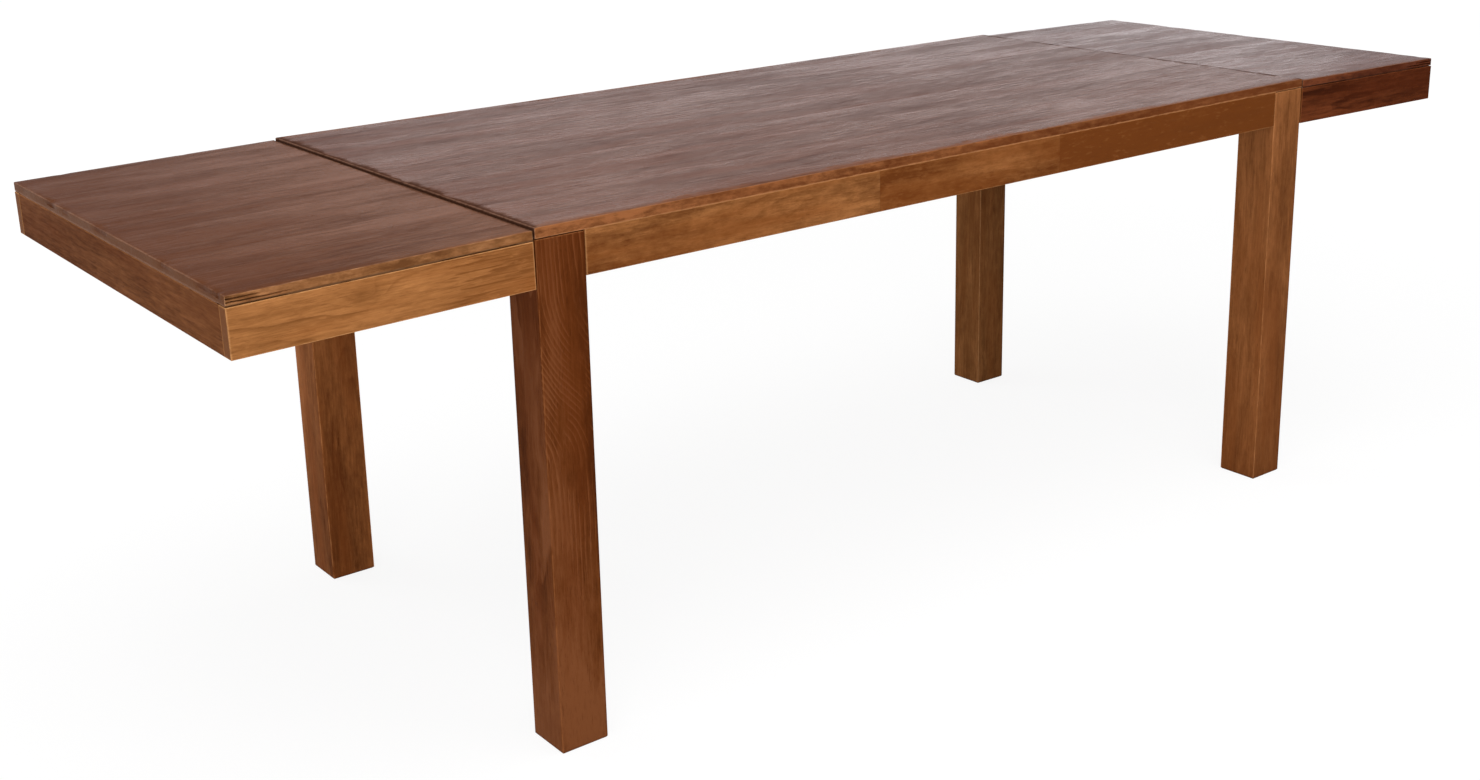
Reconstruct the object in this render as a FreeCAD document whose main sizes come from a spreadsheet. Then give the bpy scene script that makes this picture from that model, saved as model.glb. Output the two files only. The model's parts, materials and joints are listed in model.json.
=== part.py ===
import FreeCAD, Part
import os
import Sketcher

# A draw leaf table: a fixed rectangular top on four corner legs, and an end leaf that rides on two
# runners at each end. Millimetres, +Z up, +X along the table, origin on the floor at its centre.
# Every wooden piece, bolt, nut and screw is a sub-part with sizes bound to the sheet below.

DIMENSIONS = {
    # the fixed table
    "table_length": 1600,
    "table_width": 800,
    "table_height": 750,
    "top_thickness": 15,
    "edge_radius": 1.5,
    "crisp_radius": 0.8,
    "corner_radius": 3,
    "inner_chamfer": 1,
    "leg_size": 75,
    "leg_edge_radius": 2.5,
    "leg_top_gap": 1.5,
    "leg_flat": 18,
    "foot_chamfer": 2,
    "apron_height": 62,
    "apron_thickness": 22,
    "groove_inset": 9,
    "groove_height": 8,
    "groove_depth": 8,
    # table buttons, which hook into the apron grooves and hold the top down
    "button_length": 36,
    "button_reach": 38,
    "button_gap": 1,
    "button_tongue": 6.5,
    "button_clearance": 0.3,
    # corner blocks and the hanger bolts through them
    "block_thickness": 24,
    "block_height": 44,
    "block_gap": 2,
    "bolt_radius": 4,
    "bolt_bury": 36,
    "bolt_spare": 4,
    "bolt_clearance": 0.5,
    "washer_radius": 12,
    "washer_thickness": 2,
    "nut_radius": 7.5,
    "nut_thickness": 6.5,
    # cross battens under the top, and the hoops that carry the runners
    "batten_width": 60,
    "batten_end_gap": 0.5,
    "guide_thickness": 18,
    "guide_inset": 260,
    "hoop_length": 40,
    "hoop_wall": 18,
    "hoop_base": 9,
    # runners
    "runner_width": 45,
    "runner_height": 24,
    "runner_engaged": 300,
    "runner_offset": 200,
    "runner_end_gap": 2,
    "runner_tip": 3,
    "slide_clearance": 0.3,
    "side_clearance": 0.6,
    # leaves, as they stand drawn out: a little low at the seam, and tilted by the play of the runners
    "leaf_length": 408,
    "leaf_thickness": 13.5,
    "leaf_shadow_gap": 1.5,
    "skirt_height": 63.5,
    "skirt_thickness": 20,
    "leaf_gap": 2.8,
    "leaf_drop": 3,
    "leaf_droop": 0.85,
    "inner_batten_inset": 50,
    "outer_batten_inset": 85,
    "leaf_block_size": 30,
    "leaf_block_rise": 5,
    # screws and dowels
    "screw_radius": 2,
    "screw_head_radius": 4,
    "screw_head_length": 2.5,
    "screw_recess_radius": 2,
    "screw_recess_depth": 1.5,
    "screw_point": 4,
    "screw_bite": 7,
    "screw_clearance": 0.1,
    "dowel_radius": 4,
    "dowel_length": 40,
    "dowel_bury": 14,
}

PLANK_COUNT = 4
TINY = 1e-4
DIAGONAL = "sin(45)"

doc = FreeCAD.newDocument("draw_leaf_table")
dims = doc.addObject("Spreadsheet::Sheet", "dims")
for row, (word, size) in enumerate(DIMENSIONS.items(), start=1):
    dims.set(f"A{row}", word)
    dims.set(f"B{row}", str(size))
    dims.setAlias(f"B{row}", word)
doc.recompute()

# Levels and places that follow from the driving dimensions, as expressions over the sheet.
HALF_LENGTH = "(dims.table_length / 2)"
HALF_WIDTH = "(dims.table_width / 2)"
TOP_UNDERSIDE = "(dims.table_height - dims.top_thickness)"
PLANK_WIDTH = f"(dims.table_width / {PLANK_COUNT})"
LEG_HEIGHT = f"({TOP_UNDERSIDE} - dims.leg_top_gap)"
APRON_BOTTOM = f"({TOP_UNDERSIDE} - dims.apron_height)"
APRON_MIDDLE = f"({TOP_UNDERSIDE} - dims.apron_height / 2)"
GUIDE_X = f"({HALF_LENGTH} - dims.guide_inset)"
BUTTON_X = f"({GUIDE_X} / 2)"
GUIDE_LEVEL = f"({TOP_UNDERSIDE} - dims.guide_thickness)"

# Distances from the outer corner of a leg, measured along the corner's diagonal.
FLAT_AT = f"((2 * dims.leg_size - dims.leg_flat) * {DIAGONAL})"
BLOCK_AT = f"({FLAT_AT} + dims.block_gap)"
BLOCK_END = f"({BLOCK_AT} + dims.block_thickness)"
BLOCK_SCREW_SIDE = f"({BLOCK_AT} - dims.apron_thickness / {DIAGONAL} + dims.block_thickness / 2)"

# A leaf's own frame starts at its inner edge on its top face, with +X outwards. Its runners bear on
# the bottom of the apron windows and against the guide battens, which gives the leaf battens their
# thickness and the windows their height.
LEAF_TOP = "(dims.table_height - dims.leaf_drop)"
LEAF_RISE = "(dims.runner_engaged * sin(dims.leaf_droop))"
RUNNER_TOP = f"(({LEAF_TOP} + {LEAF_RISE} - {GUIDE_LEVEL} + dims.slide_clearance) / cos(dims.leaf_droop))"
LEAF_BATTEN = f"({RUNNER_TOP} - dims.leaf_thickness)"
RUNNER_BOTTOM = f"({RUNNER_TOP} + dims.runner_height)"
WINDOW_BOTTOM = f"({LEAF_TOP} - {RUNNER_BOTTOM} * cos(dims.leaf_droop) - dims.slide_clearance)"
HOOP_HEIGHT = f"({GUIDE_LEVEL} - {WINDOW_BOTTOM} + dims.hoop_base)"
SLOT_HALF = "(dims.runner_width / 2 + dims.side_clearance)"
SKIRT_TOP = "(dims.leaf_thickness + dims.leaf_shadow_gap)"
SKIRT_BOTTOM = f"({SKIRT_TOP} + dims.skirt_height)"
OUTER_BATTEN_X = "(dims.leaf_length - dims.outer_batten_inset)"
LEAF_BLOCK_BOTTOM = f"({SKIRT_BOTTOM} - dims.leaf_block_rise)"
LEAF_BLOCK_X = "(dims.leaf_length - dims.skirt_thickness - dims.leaf_block_size)"
LEAF_BLOCK_Y = f"({HALF_WIDTH} - dims.skirt_thickness - dims.leaf_block_size)"

nodes = []


def number(expression):
    """The value of an expression over the sheet."""
    return float(dims.evalExpression(expression))


def move(x, y, z):
    """A shift, as an expression."""
    return f"placement(vector({x}; {y}; {z}); rotation(vector(0; 0; 1); 0))"


def turn(axis, angle):
    """A rotation about an axis through the origin, as an expression."""
    return f"placement(vector(0; 0; 0); rotation(vector({axis}); {angle}))"


def finish(thing, label):
    """Name a finished sub-part after its node."""
    thing.Label = label
    nodes.append(thing)
    return thing


def new_body(name, placement):
    body = doc.addObject("PartDesign::Body", name)
    body.AllowCompound = True
    body.setExpression("Placement", placement)
    return body


def origin_feature(body, role):
    return next(part for part in body.Origin.OriginFeatures if part.Role == role)


def new_sketch(body, plane, offset=None):
    """A sketch on one of the body's own origin planes, moved by an expression if one is given."""
    sketch = body.newObject("Sketcher::SketchObject", f"{body.Name}_sketch")
    sketch.AttachmentSupport = [(origin_feature(body, plane), "")]
    sketch.MapMode = "FlatFace"
    if offset:
        sketch.setExpression("AttachmentOffset", offset)
    return sketch


def pin(sketch, line, kind, axis, expression):
    """Hold the start of a line at a distance from the sketch's origin along one direction."""
    if expression == "0":
        sketch.addConstraint(Sketcher.Constraint("PointOnObject", line, 1, axis))
        return
    index = sketch.addConstraint(Sketcher.Constraint(kind, -1, 1, line, 1, number(expression)))
    sketch.setExpression(f"Constraints[{index}]", expression)


def outline(sketch, points):
    """A closed outline of straight lines, with each corner held by two bound distances."""
    spots = [FreeCAD.Vector(number(x), number(y), 0) for x, y in points]
    first = sketch.GeometryCount
    for index, spot in enumerate(spots):
        sketch.addGeometry(Part.LineSegment(spot, spots[(index + 1) % len(spots)]))
    for index in range(len(spots)):
        following = first + (index + 1) % len(spots)
        sketch.addConstraint(Sketcher.Constraint("Coincident", first + index, 2, following, 1))
    for index, (x, y) in enumerate(points):
        pin(sketch, first + index, "DistanceX", -2, x)
        pin(sketch, first + index, "DistanceY", -1, y)
    return sketch


def box_points(x_low, x_high, y_low, y_high):
    return [(x_low, y_low), (x_high, y_low), (x_high, y_high), (x_low, y_high)]


def pad(body, sketch, length, middle=False):
    feature = body.newObject("PartDesign::Pad", f"{body.Name}_pad")
    feature.Profile = sketch
    feature.Midplane = middle
    feature.setExpression("Length", length)
    doc.recompute()
    return feature


def pocket(body, sketch, length, middle=False):
    """A pocket against the sketch's normal, which has to take material away."""
    before = body.Tip.Shape.Volume
    feature = body.newObject("PartDesign::Pocket", f"{body.Name}_pocket")
    feature.Profile = sketch
    feature.Midplane = middle
    feature.setExpression("Length", length)
    doc.recompute()
    if feature.Shape.Volume > before - TINY:
        raise RuntimeError(f"{feature.Name} cuts nothing")
    return feature


def ease(body, kind, radius, wanted):
    """A fillet or chamfer on the edges of the body's last feature that a test picks."""
    base = body.Tip
    names = [f"Edge{i}" for i, edge in enumerate(base.Shape.Edges, start=1) if wanted(edge)]
    if not names:
        raise RuntimeError(f"{body.Name} has no edge to ease")
    feature = body.newObject(f"PartDesign::{kind}", f"{body.Name}_{kind.lower()}")
    feature.Base = (base, names)
    feature.setExpression("Radius" if kind == "Fillet" else "Size", radius)
    doc.recompute()
    return feature


def runs_along(edge, direction):
    """True for a straight edge that runs along X, Y or Z."""
    box = edge.BoundBox
    spans = {"X": box.XLength, "Y": box.YLength, "Z": box.ZLength}
    return all((span > TINY) == (name == direction) for name, span in spans.items())


def bar(name, placement, x, y, height):
    """A straight wooden piece: a rectangle in its own XY plane, padded upwards."""
    body = new_body(name, placement)
    pad(body, outline(new_sketch(body, "XY_Plane"), box_points(*x, *y)), height)
    return body


def ease_hidden(body, direction):
    """Small chamfers along the straight edges of a piece that shows only from below."""
    ease(body, "Chamfer", "dims.inner_chamfer", lambda edge: runs_along(edge, direction))


def plank(name, placement, x_low, x_high, thickness, outer_side):
    """One board of a panel. Its ends are eased, and its long edge where it is the panel's outside."""
    half = f"({PLANK_WIDTH} / 2)"
    body = new_body(name, placement)
    points = box_points(x_low, x_high, f"-{half}", half)
    pad(body, outline(new_sketch(body, "XY_Plane"), points), thickness)
    outside = outer_side * number(half)

    def is_seam(edge):
        at_side = abs(abs(edge.CenterOfMass.y) - number(half)) < TINY
        return at_side and not (outer_side and abs(edge.CenterOfMass.y - outside) < TINY)

    if outer_side:
        ease(body, "Fillet", "dims.corner_radius", lambda edge: runs_along(edge, "Z") and not is_seam(edge))
    ease(body, "Fillet", "dims.edge_radius",
         lambda edge: edge.BoundBox.ZLength < TINY and not is_seam(edge))
    return body


def seat_on(x, y, z, pitch=0, yaw=0):
    """Where a turned piece starts: its axis points along +X, turned down by pitch, then by yaw."""
    spin = f"{turn('0; 0; 1', yaw)} * {turn('0; 1; 0', pitch)}"
    return f"{move(x, y, z)} * {spin}"


def add_copies(body, feature, sketch, copies):
    """Repeat a feature: each step is a mirror plane, or a direction, a length and a count."""
    steps = []
    for step in copies:
        if len(step) == 1:
            mirror = body.newObject("PartDesign::Mirrored", f"{body.Name}_mirror")
            mirror.MirrorPlane = (origin_feature(body, step[0]), [""])
            steps.append(mirror)
            continue
        direction, length, count = step
        pattern = body.newObject("PartDesign::LinearPattern", f"{body.Name}_row")
        own_axis = direction == "V_Axis"
        pattern.Direction = (sketch, [direction]) if own_axis else (origin_feature(body, direction), [""])
        pattern.setExpression("Length", length)
        pattern.Occurrences = count
        steps.append(pattern)
    group = body.newObject("PartDesign::MultiTransform", f"{body.Name}_copies")
    group.Originals = [feature]
    group.Transformations = steps
    body.Tip = group
    doc.recompute()


def turned(name, frame, seat, points, copies):
    """A family of turned pieces, from a profile along +X with its radius along +Y."""
    body = new_body(name, frame)
    sketch = outline(new_sketch(body, "XY_Plane", seat), points)
    feature = body.newObject("PartDesign::Revolution", f"{name}_turn")
    feature.Profile = sketch
    feature.ReferenceAxis = (sketch, ["H_Axis"])
    feature.Angle = 360
    doc.recompute()
    if copies:
        add_copies(body, feature, sketch, copies)
    return body


def ring_points(x_low, x_high, inner, outer):
    return [(x_low, inner), (x_high, inner), (x_high, outer), (x_low, outer)]


def rod_points(x_low, x_high, radius):
    return ring_points(x_low, x_high, "0", radius)


def screws(name, frame, seat, length, copies):
    """A family of countersunk wood screws, and the family of holes that clears them."""
    loose = "dims.screw_clearance"
    head = [
        ("dims.screw_recess_depth", "0"),
        ("0", "dims.screw_recess_radius"),
        ("0", "dims.screw_head_radius"),
        ("dims.screw_head_length", "dims.screw_radius"),
        (f"({length} - dims.screw_point)", "dims.screw_radius"),
        (length, "0"),
    ]
    hole = [
        ("-dims.screw_radius", "0"),
        ("-dims.screw_radius", f"dims.screw_head_radius + {loose}"),
        ("0", f"dims.screw_head_radius + {loose}"),
        ("dims.screw_head_length", f"dims.screw_radius + {loose}"),
        (f"{length} + {loose}", f"dims.screw_radius + {loose}"),
        (f"{length} + {loose}", "0"),
    ]
    return turned(name, frame, seat, head, copies), turned(f"{name}_holes", frame, seat, hole, copies)


def drill(body, label, hole_families):
    """The finished piece: its blank body with every family of holes cut from it."""
    tool = doc.addObject("Part::Compound", f"{label}_drills")
    tool.Links = hole_families
    cut = doc.addObject("Part::Cut", f"{label}_drilled")
    cut.Base = body
    cut.Tool = tool
    doc.recompute()
    if cut.Shape.Volume > body.Shape.Volume - TINY:
        raise RuntimeError(f"{label} is not drilled")
    return finish(cut, label)


WORLD = move(0, 0, 0)

# Screws and bolts of the fixed table. The corner families are modelled at the front left corner and
# mirrored to the other three; the others are rows that start at their front left copy.
CORNERS = [("YZ_Plane",), ("XZ_Plane",)]


def corner_seat(distance, pitch=0, yaw=45, side="0"):
    """A seat on the diagonal of the front left corner, or to one side of it."""
    x = f"-{HALF_LENGTH} + ({distance} + {side}) * {DIAGONAL}"
    y = f"-{HALF_WIDTH} + ({distance} - {side}) * {DIAGONAL}"
    return seat_on(x, y, APRON_MIDDLE, pitch, yaw)


BOLT_END = f"({BLOCK_END} + dims.washer_thickness + dims.nut_thickness + dims.bolt_spare)"
BOLT_START = f"({FLAT_AT} - dims.bolt_bury)"
BORE_RADIUS = "dims.bolt_radius + dims.screw_clearance"

hanger_bolts = turned(
    "hanger_bolts", WORLD, corner_seat(BOLT_START),
    rod_points("0", f"({BOLT_END} - {BOLT_START})", "dims.bolt_radius"), CORNERS)
leg_bores = turned(
    "leg_bores", WORLD, corner_seat(f"({BOLT_START} - dims.screw_clearance)"),
    rod_points("0", "dims.bolt_bury + dims.bolt_spare", BORE_RADIUS), CORNERS)
block_bores = turned(
    "block_bores", WORLD, corner_seat(FLAT_AT),
    rod_points("0", "dims.block_gap + dims.block_thickness + dims.bolt_spare",
               "dims.bolt_radius + dims.bolt_clearance"), CORNERS)
washers = turned(
    "washers", WORLD, corner_seat(BLOCK_END),
    ring_points("0", "dims.washer_thickness", BORE_RADIUS, "dims.washer_radius"), CORNERS)
finish(hanger_bolts, "hanger_bolts")
finish(washers, "washers")

corner_block_screws, corner_block_screw_holes = screws(
    "corner_block_screws", WORLD, corner_seat(BLOCK_END, yaw=225, side=f"-{BLOCK_SCREW_SIDE}"),
    "(dims.block_thickness / 2 + 2 * dims.screw_bite)",
    [("V_Axis", f"2 * {BLOCK_SCREW_SIDE}", 2)] + CORNERS)
finish(corner_block_screws, "corner_block_screws")

batten_screws, batten_screw_holes = screws(
    "batten_screws", WORLD,
    seat_on(f"-{GUIDE_X}", f"-{HALF_WIDTH} + {PLANK_WIDTH} / 2", GUIDE_LEVEL, pitch=-90),
    "(dims.guide_thickness + dims.screw_bite)",
    [("X_Axis", f"2 * {GUIDE_X}", 3), ("Y_Axis", f"dims.table_width - {PLANK_WIDTH}", PLANK_COUNT)])
finish(batten_screws, "batten_screws")

HOOP_SCREW_SIDE = f"({SLOT_HALF} + dims.hoop_wall / 2)"
hoop_screws, hoop_screw_holes = screws(
    "hoop_screws", WORLD,
    seat_on(f"-{GUIDE_X}", f"-dims.runner_offset - {HOOP_SCREW_SIDE}", f"{GUIDE_LEVEL} - {HOOP_HEIGHT}",
            pitch=-90),
    f"({HOOP_HEIGHT} + dims.screw_bite)",
    [("Y_Axis", f"2 * {HOOP_SCREW_SIDE}", 2), ("YZ_Plane",), ("XZ_Plane",)])
finish(hoop_screws, "hoop_screws")

BUTTON_FACE = f"(-{HALF_WIDTH} + dims.apron_thickness)"
BUTTON_BOTTOM = "(dims.groove_inset + dims.groove_height - dims.button_clearance)"
button_screws, button_screw_holes = screws(
    "button_screws", WORLD,
    seat_on(f"-{BUTTON_X}", f"{BUTTON_FACE} + dims.button_reach / 2", f"{TOP_UNDERSIDE} - {BUTTON_BOTTOM}",
            pitch=-90),
    f"({BUTTON_BOTTOM} + dims.screw_bite)",
    CORNERS)
finish(button_screws, "button_screws")


def hexagon(radius):
    """The six corners of a nut's outline."""
    return [(f"{radius} * cos({60 * i + 30})", f"{radius} * sin({60 * i + 30})") for i in range(6)]


def make_nuts():
    """Four hexagonal nuts, tight against the washers."""
    body = new_body("nuts", WORLD)
    sketch = new_sketch(body, "XY_Plane", corner_seat(f"({BLOCK_END} + dims.washer_thickness)", pitch=90))
    outline(sketch, hexagon("dims.nut_radius"))
    middle = FreeCAD.Vector(0, 0, 0)
    bore = sketch.addGeometry(Part.Circle(middle, FreeCAD.Vector(0, 0, 1), number(BORE_RADIUS)))
    sketch.addConstraint(Sketcher.Constraint("Coincident", bore, 3, -1, 1))
    index = sketch.addConstraint(Sketcher.Constraint("Radius", bore, number(BORE_RADIUS)))
    sketch.setExpression(f"Constraints[{index}]", BORE_RADIUS)
    feature = pad(body, sketch, "dims.nut_thickness")
    add_copies(body, feature, sketch, CORNERS)
    finish(body, "nuts")


def make_top():
    """The fixed top: boards glued edge to edge, screwed to the battens from below."""
    for index in range(PLANK_COUNT):
        middle = f"-{HALF_WIDTH} + {index + 0.5} * {PLANK_WIDTH}"
        outer_side = {0: -1, PLANK_COUNT - 1: 1}.get(index, 0)
        label = f"top_plank_{index + 1}"
        body = plank(f"{label}_blank", move(0, middle, TOP_UNDERSIDE), f"-{HALF_LENGTH}", HALF_LENGTH,
                     "dims.top_thickness", outer_side)
        holes = [batten_screw_holes]
        if outer_side:
            holes.append(button_screw_holes)
        drill(body, label, holes)


def make_leg(label, placement):
    """A square leg, with a flat across its inner corner where the hanger bolt goes in."""
    body = new_body(f"{label}_blank", placement)
    square = box_points("0", "dims.leg_size", "0", "dims.leg_size")
    pad(body, outline(new_sketch(body, "XY_Plane"), square), LEG_HEIGHT)
    size = number("dims.leg_size")
    ease(body, "Fillet", "dims.leg_edge_radius",
         lambda edge: runs_along(edge, "Z") and edge.CenterOfMass.x + edge.CenterOfMass.y < 2 * size - TINY)
    ease(body, "Chamfer", "dims.foot_chamfer", lambda edge: edge.BoundBox.ZMax < TINY)
    top = number(LEG_HEIGHT)
    ease(body, "Fillet", "dims.edge_radius", lambda edge: edge.BoundBox.ZMin > top - TINY)
    beyond = "dims.leg_size + dims.leg_flat"
    inside = "dims.leg_size - 2 * dims.leg_flat"
    flat = [(beyond, inside), (beyond, beyond), (inside, beyond)]
    pocket(body, outline(new_sketch(body, "XY_Plane", move(0, 0, LEG_HEIGHT)), flat), "dims.apron_height")
    drill(body, label, [leg_bores])


def make_corner_block(label, placement):
    """A block across the corner, its ends flat against the two aprons."""
    near = f"({BLOCK_AT} / {DIAGONAL} - dims.apron_thickness)"
    far = f"({BLOCK_END} / {DIAGONAL} - dims.apron_thickness)"
    side = "dims.apron_thickness"
    level = move(0, 0, f"{APRON_MIDDLE} - dims.block_height / 2")
    body = new_body(f"{label}_blank", f"{placement} * {level}")
    pad(body, outline(new_sketch(body, "XY_Plane"), [(near, side), (far, side), (side, far), (side, near)]),
        "dims.block_height")
    ease_hidden(body, "Z")
    drill(body, label, [block_bores, corner_block_screw_holes])


def make_corners():
    corners = {
        "front_left": (f"-{HALF_LENGTH}", f"-{HALF_WIDTH}", 0),
        "front_right": (HALF_LENGTH, f"-{HALF_WIDTH}", 90),
        "back_right": (HALF_LENGTH, HALF_WIDTH, 180),
        "back_left": (f"-{HALF_LENGTH}", HALF_WIDTH, 270),
    }
    for name, (x, y, yaw) in corners.items():
        placement = f"{move(x, y, 0)} * {turn('0; 0; 1', yaw)}"
        make_leg(f"{name}_leg", placement)
        make_corner_block(f"{name}_corner_block", placement)


def make_long_apron(label, placement):
    """A front or back apron: its section, grooved inside for the buttons, padded along its length."""
    groove_top = "(dims.apron_height - dims.groove_inset)"
    groove_bottom = f"({groove_top} - dims.groove_height)"
    inner = "dims.apron_thickness"
    floor = "(dims.apron_thickness - dims.groove_depth)"
    section = [
        ("0", "0"), (inner, "0"), (inner, groove_bottom), (floor, groove_bottom),
        (floor, groove_top), (inner, groove_top), (inner, "dims.apron_height"), ("0", "dims.apron_height"),
    ]
    body = new_body(f"{label}_blank", placement)
    pad(body, outline(new_sketch(body, "YZ_Plane"), section), "dims.table_length - 2 * dims.leg_size", True)
    ease(body, "Fillet", "dims.crisp_radius", lambda edge: edge.BoundBox.YMax < TINY)
    drill(body, label, [corner_block_screw_holes])


def make_end_apron(label, placement):
    """An end apron, with a window for each runner level with the underside of the guide batten."""
    body = new_body(f"{label}_blank", placement)
    half = f"({HALF_WIDTH} - dims.leg_size)"
    plan = box_points("0", "dims.apron_thickness", f"-{half}", half)
    pad(body, outline(new_sketch(body, "XY_Plane"), plan), "dims.apron_height")
    ease(body, "Fillet", "dims.crisp_radius", lambda edge: edge.BoundBox.XMax < TINY)
    sketch = new_sketch(body, "YZ_Plane")
    for centre in ("-dims.runner_offset", "dims.runner_offset"):
        outline(sketch, box_points(f"{centre} - {SLOT_HALF}", f"{centre} + {SLOT_HALF}",
                                   f"{WINDOW_BOTTOM} - {APRON_BOTTOM}", f"{GUIDE_LEVEL} - {APRON_BOTTOM}"))
    pocket(body, sketch, "3 * dims.apron_thickness", True)
    drill(body, label, [corner_block_screw_holes])


def make_frame():
    half_turn = turn("0; 0; 1", 180)
    front = move(0, f"-{HALF_WIDTH}", APRON_BOTTOM)
    left = move(f"-{HALF_LENGTH}", 0, APRON_BOTTOM)
    make_long_apron("front_apron", front)
    make_long_apron("back_apron", f"{half_turn} * {front}")
    make_end_apron("left_end_apron", left)
    make_end_apron("right_end_apron", f"{half_turn} * {left}")


def make_battens():
    """Three cross battens between the long aprons. The outer two also hold the runners down."""
    half = f"({HALF_WIDTH} - dims.apron_thickness - dims.batten_end_gap)"
    across = ("-dims.batten_width / 2", "dims.batten_width / 2")
    places = {"left_guide_batten": f"-{GUIDE_X}", "centre_batten": "0", "right_guide_batten": GUIDE_X}
    for label, x in places.items():
        body = bar(f"{label}_blank", move(x, 0, GUIDE_LEVEL), across, (f"-{half}", half),
                   "dims.guide_thickness")
        ease_hidden(body, "Y")
        holes = [batten_screw_holes]
        if x != "0":
            holes.append(hoop_screw_holes)
        drill(body, label, holes)


def make_hoops():
    """Four U-shaped hoops under the guide battens, which the runners slide through."""
    outer = f"({SLOT_HALF} + dims.hoop_wall)"
    section = [
        (f"-{outer}", "0"), (outer, "0"), (outer, HOOP_HEIGHT), (SLOT_HALF, HOOP_HEIGHT),
        (SLOT_HALF, "dims.hoop_base"), (f"-{SLOT_HALF}", "dims.hoop_base"),
        (f"-{SLOT_HALF}", HOOP_HEIGHT), (f"-{outer}", HOOP_HEIGHT),
    ]
    for side, x in {"left": f"-{GUIDE_X}", "right": GUIDE_X}.items():
        for row, y in {"front": "-dims.runner_offset", "back": "dims.runner_offset"}.items():
            label = f"{side}_{row}_runner_hoop"
            body = new_body(f"{label}_blank", move(x, y, f"{GUIDE_LEVEL} - {HOOP_HEIGHT}"))
            pad(body, outline(new_sketch(body, "YZ_Plane"), section), "dims.hoop_length", True)
            ease_hidden(body, "Y")
            drill(body, label, [hoop_screw_holes])


def make_buttons():
    """Four wooden buttons, tongues in the apron grooves and tops against the boards."""
    tongue_top = "-(dims.groove_inset + dims.button_clearance)"
    tongue_bottom = f"-{BUTTON_BOTTOM}"
    section = [
        (f"{BUTTON_FACE} - dims.button_tongue", tongue_bottom),
        (f"{BUTTON_FACE} + dims.button_reach", tongue_bottom),
        (f"{BUTTON_FACE} + dims.button_reach", "0"),
        (f"{BUTTON_FACE} + dims.button_gap", "0"),
        (f"{BUTTON_FACE} + dims.button_gap", tongue_top),
        (f"{BUTTON_FACE} - dims.button_tongue", tongue_top),
    ]
    body = new_body("top_buttons_blank", move(0, 0, TOP_UNDERSIDE))
    sketch = new_sketch(body, "YZ_Plane", move(0, 0, f"-{BUTTON_X}"))
    feature = pad(body, outline(sketch, section), "dims.button_length", True)
    add_copies(body, feature, sketch, CORNERS)
    drill(body, "top_buttons", [button_screw_holes])


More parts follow.
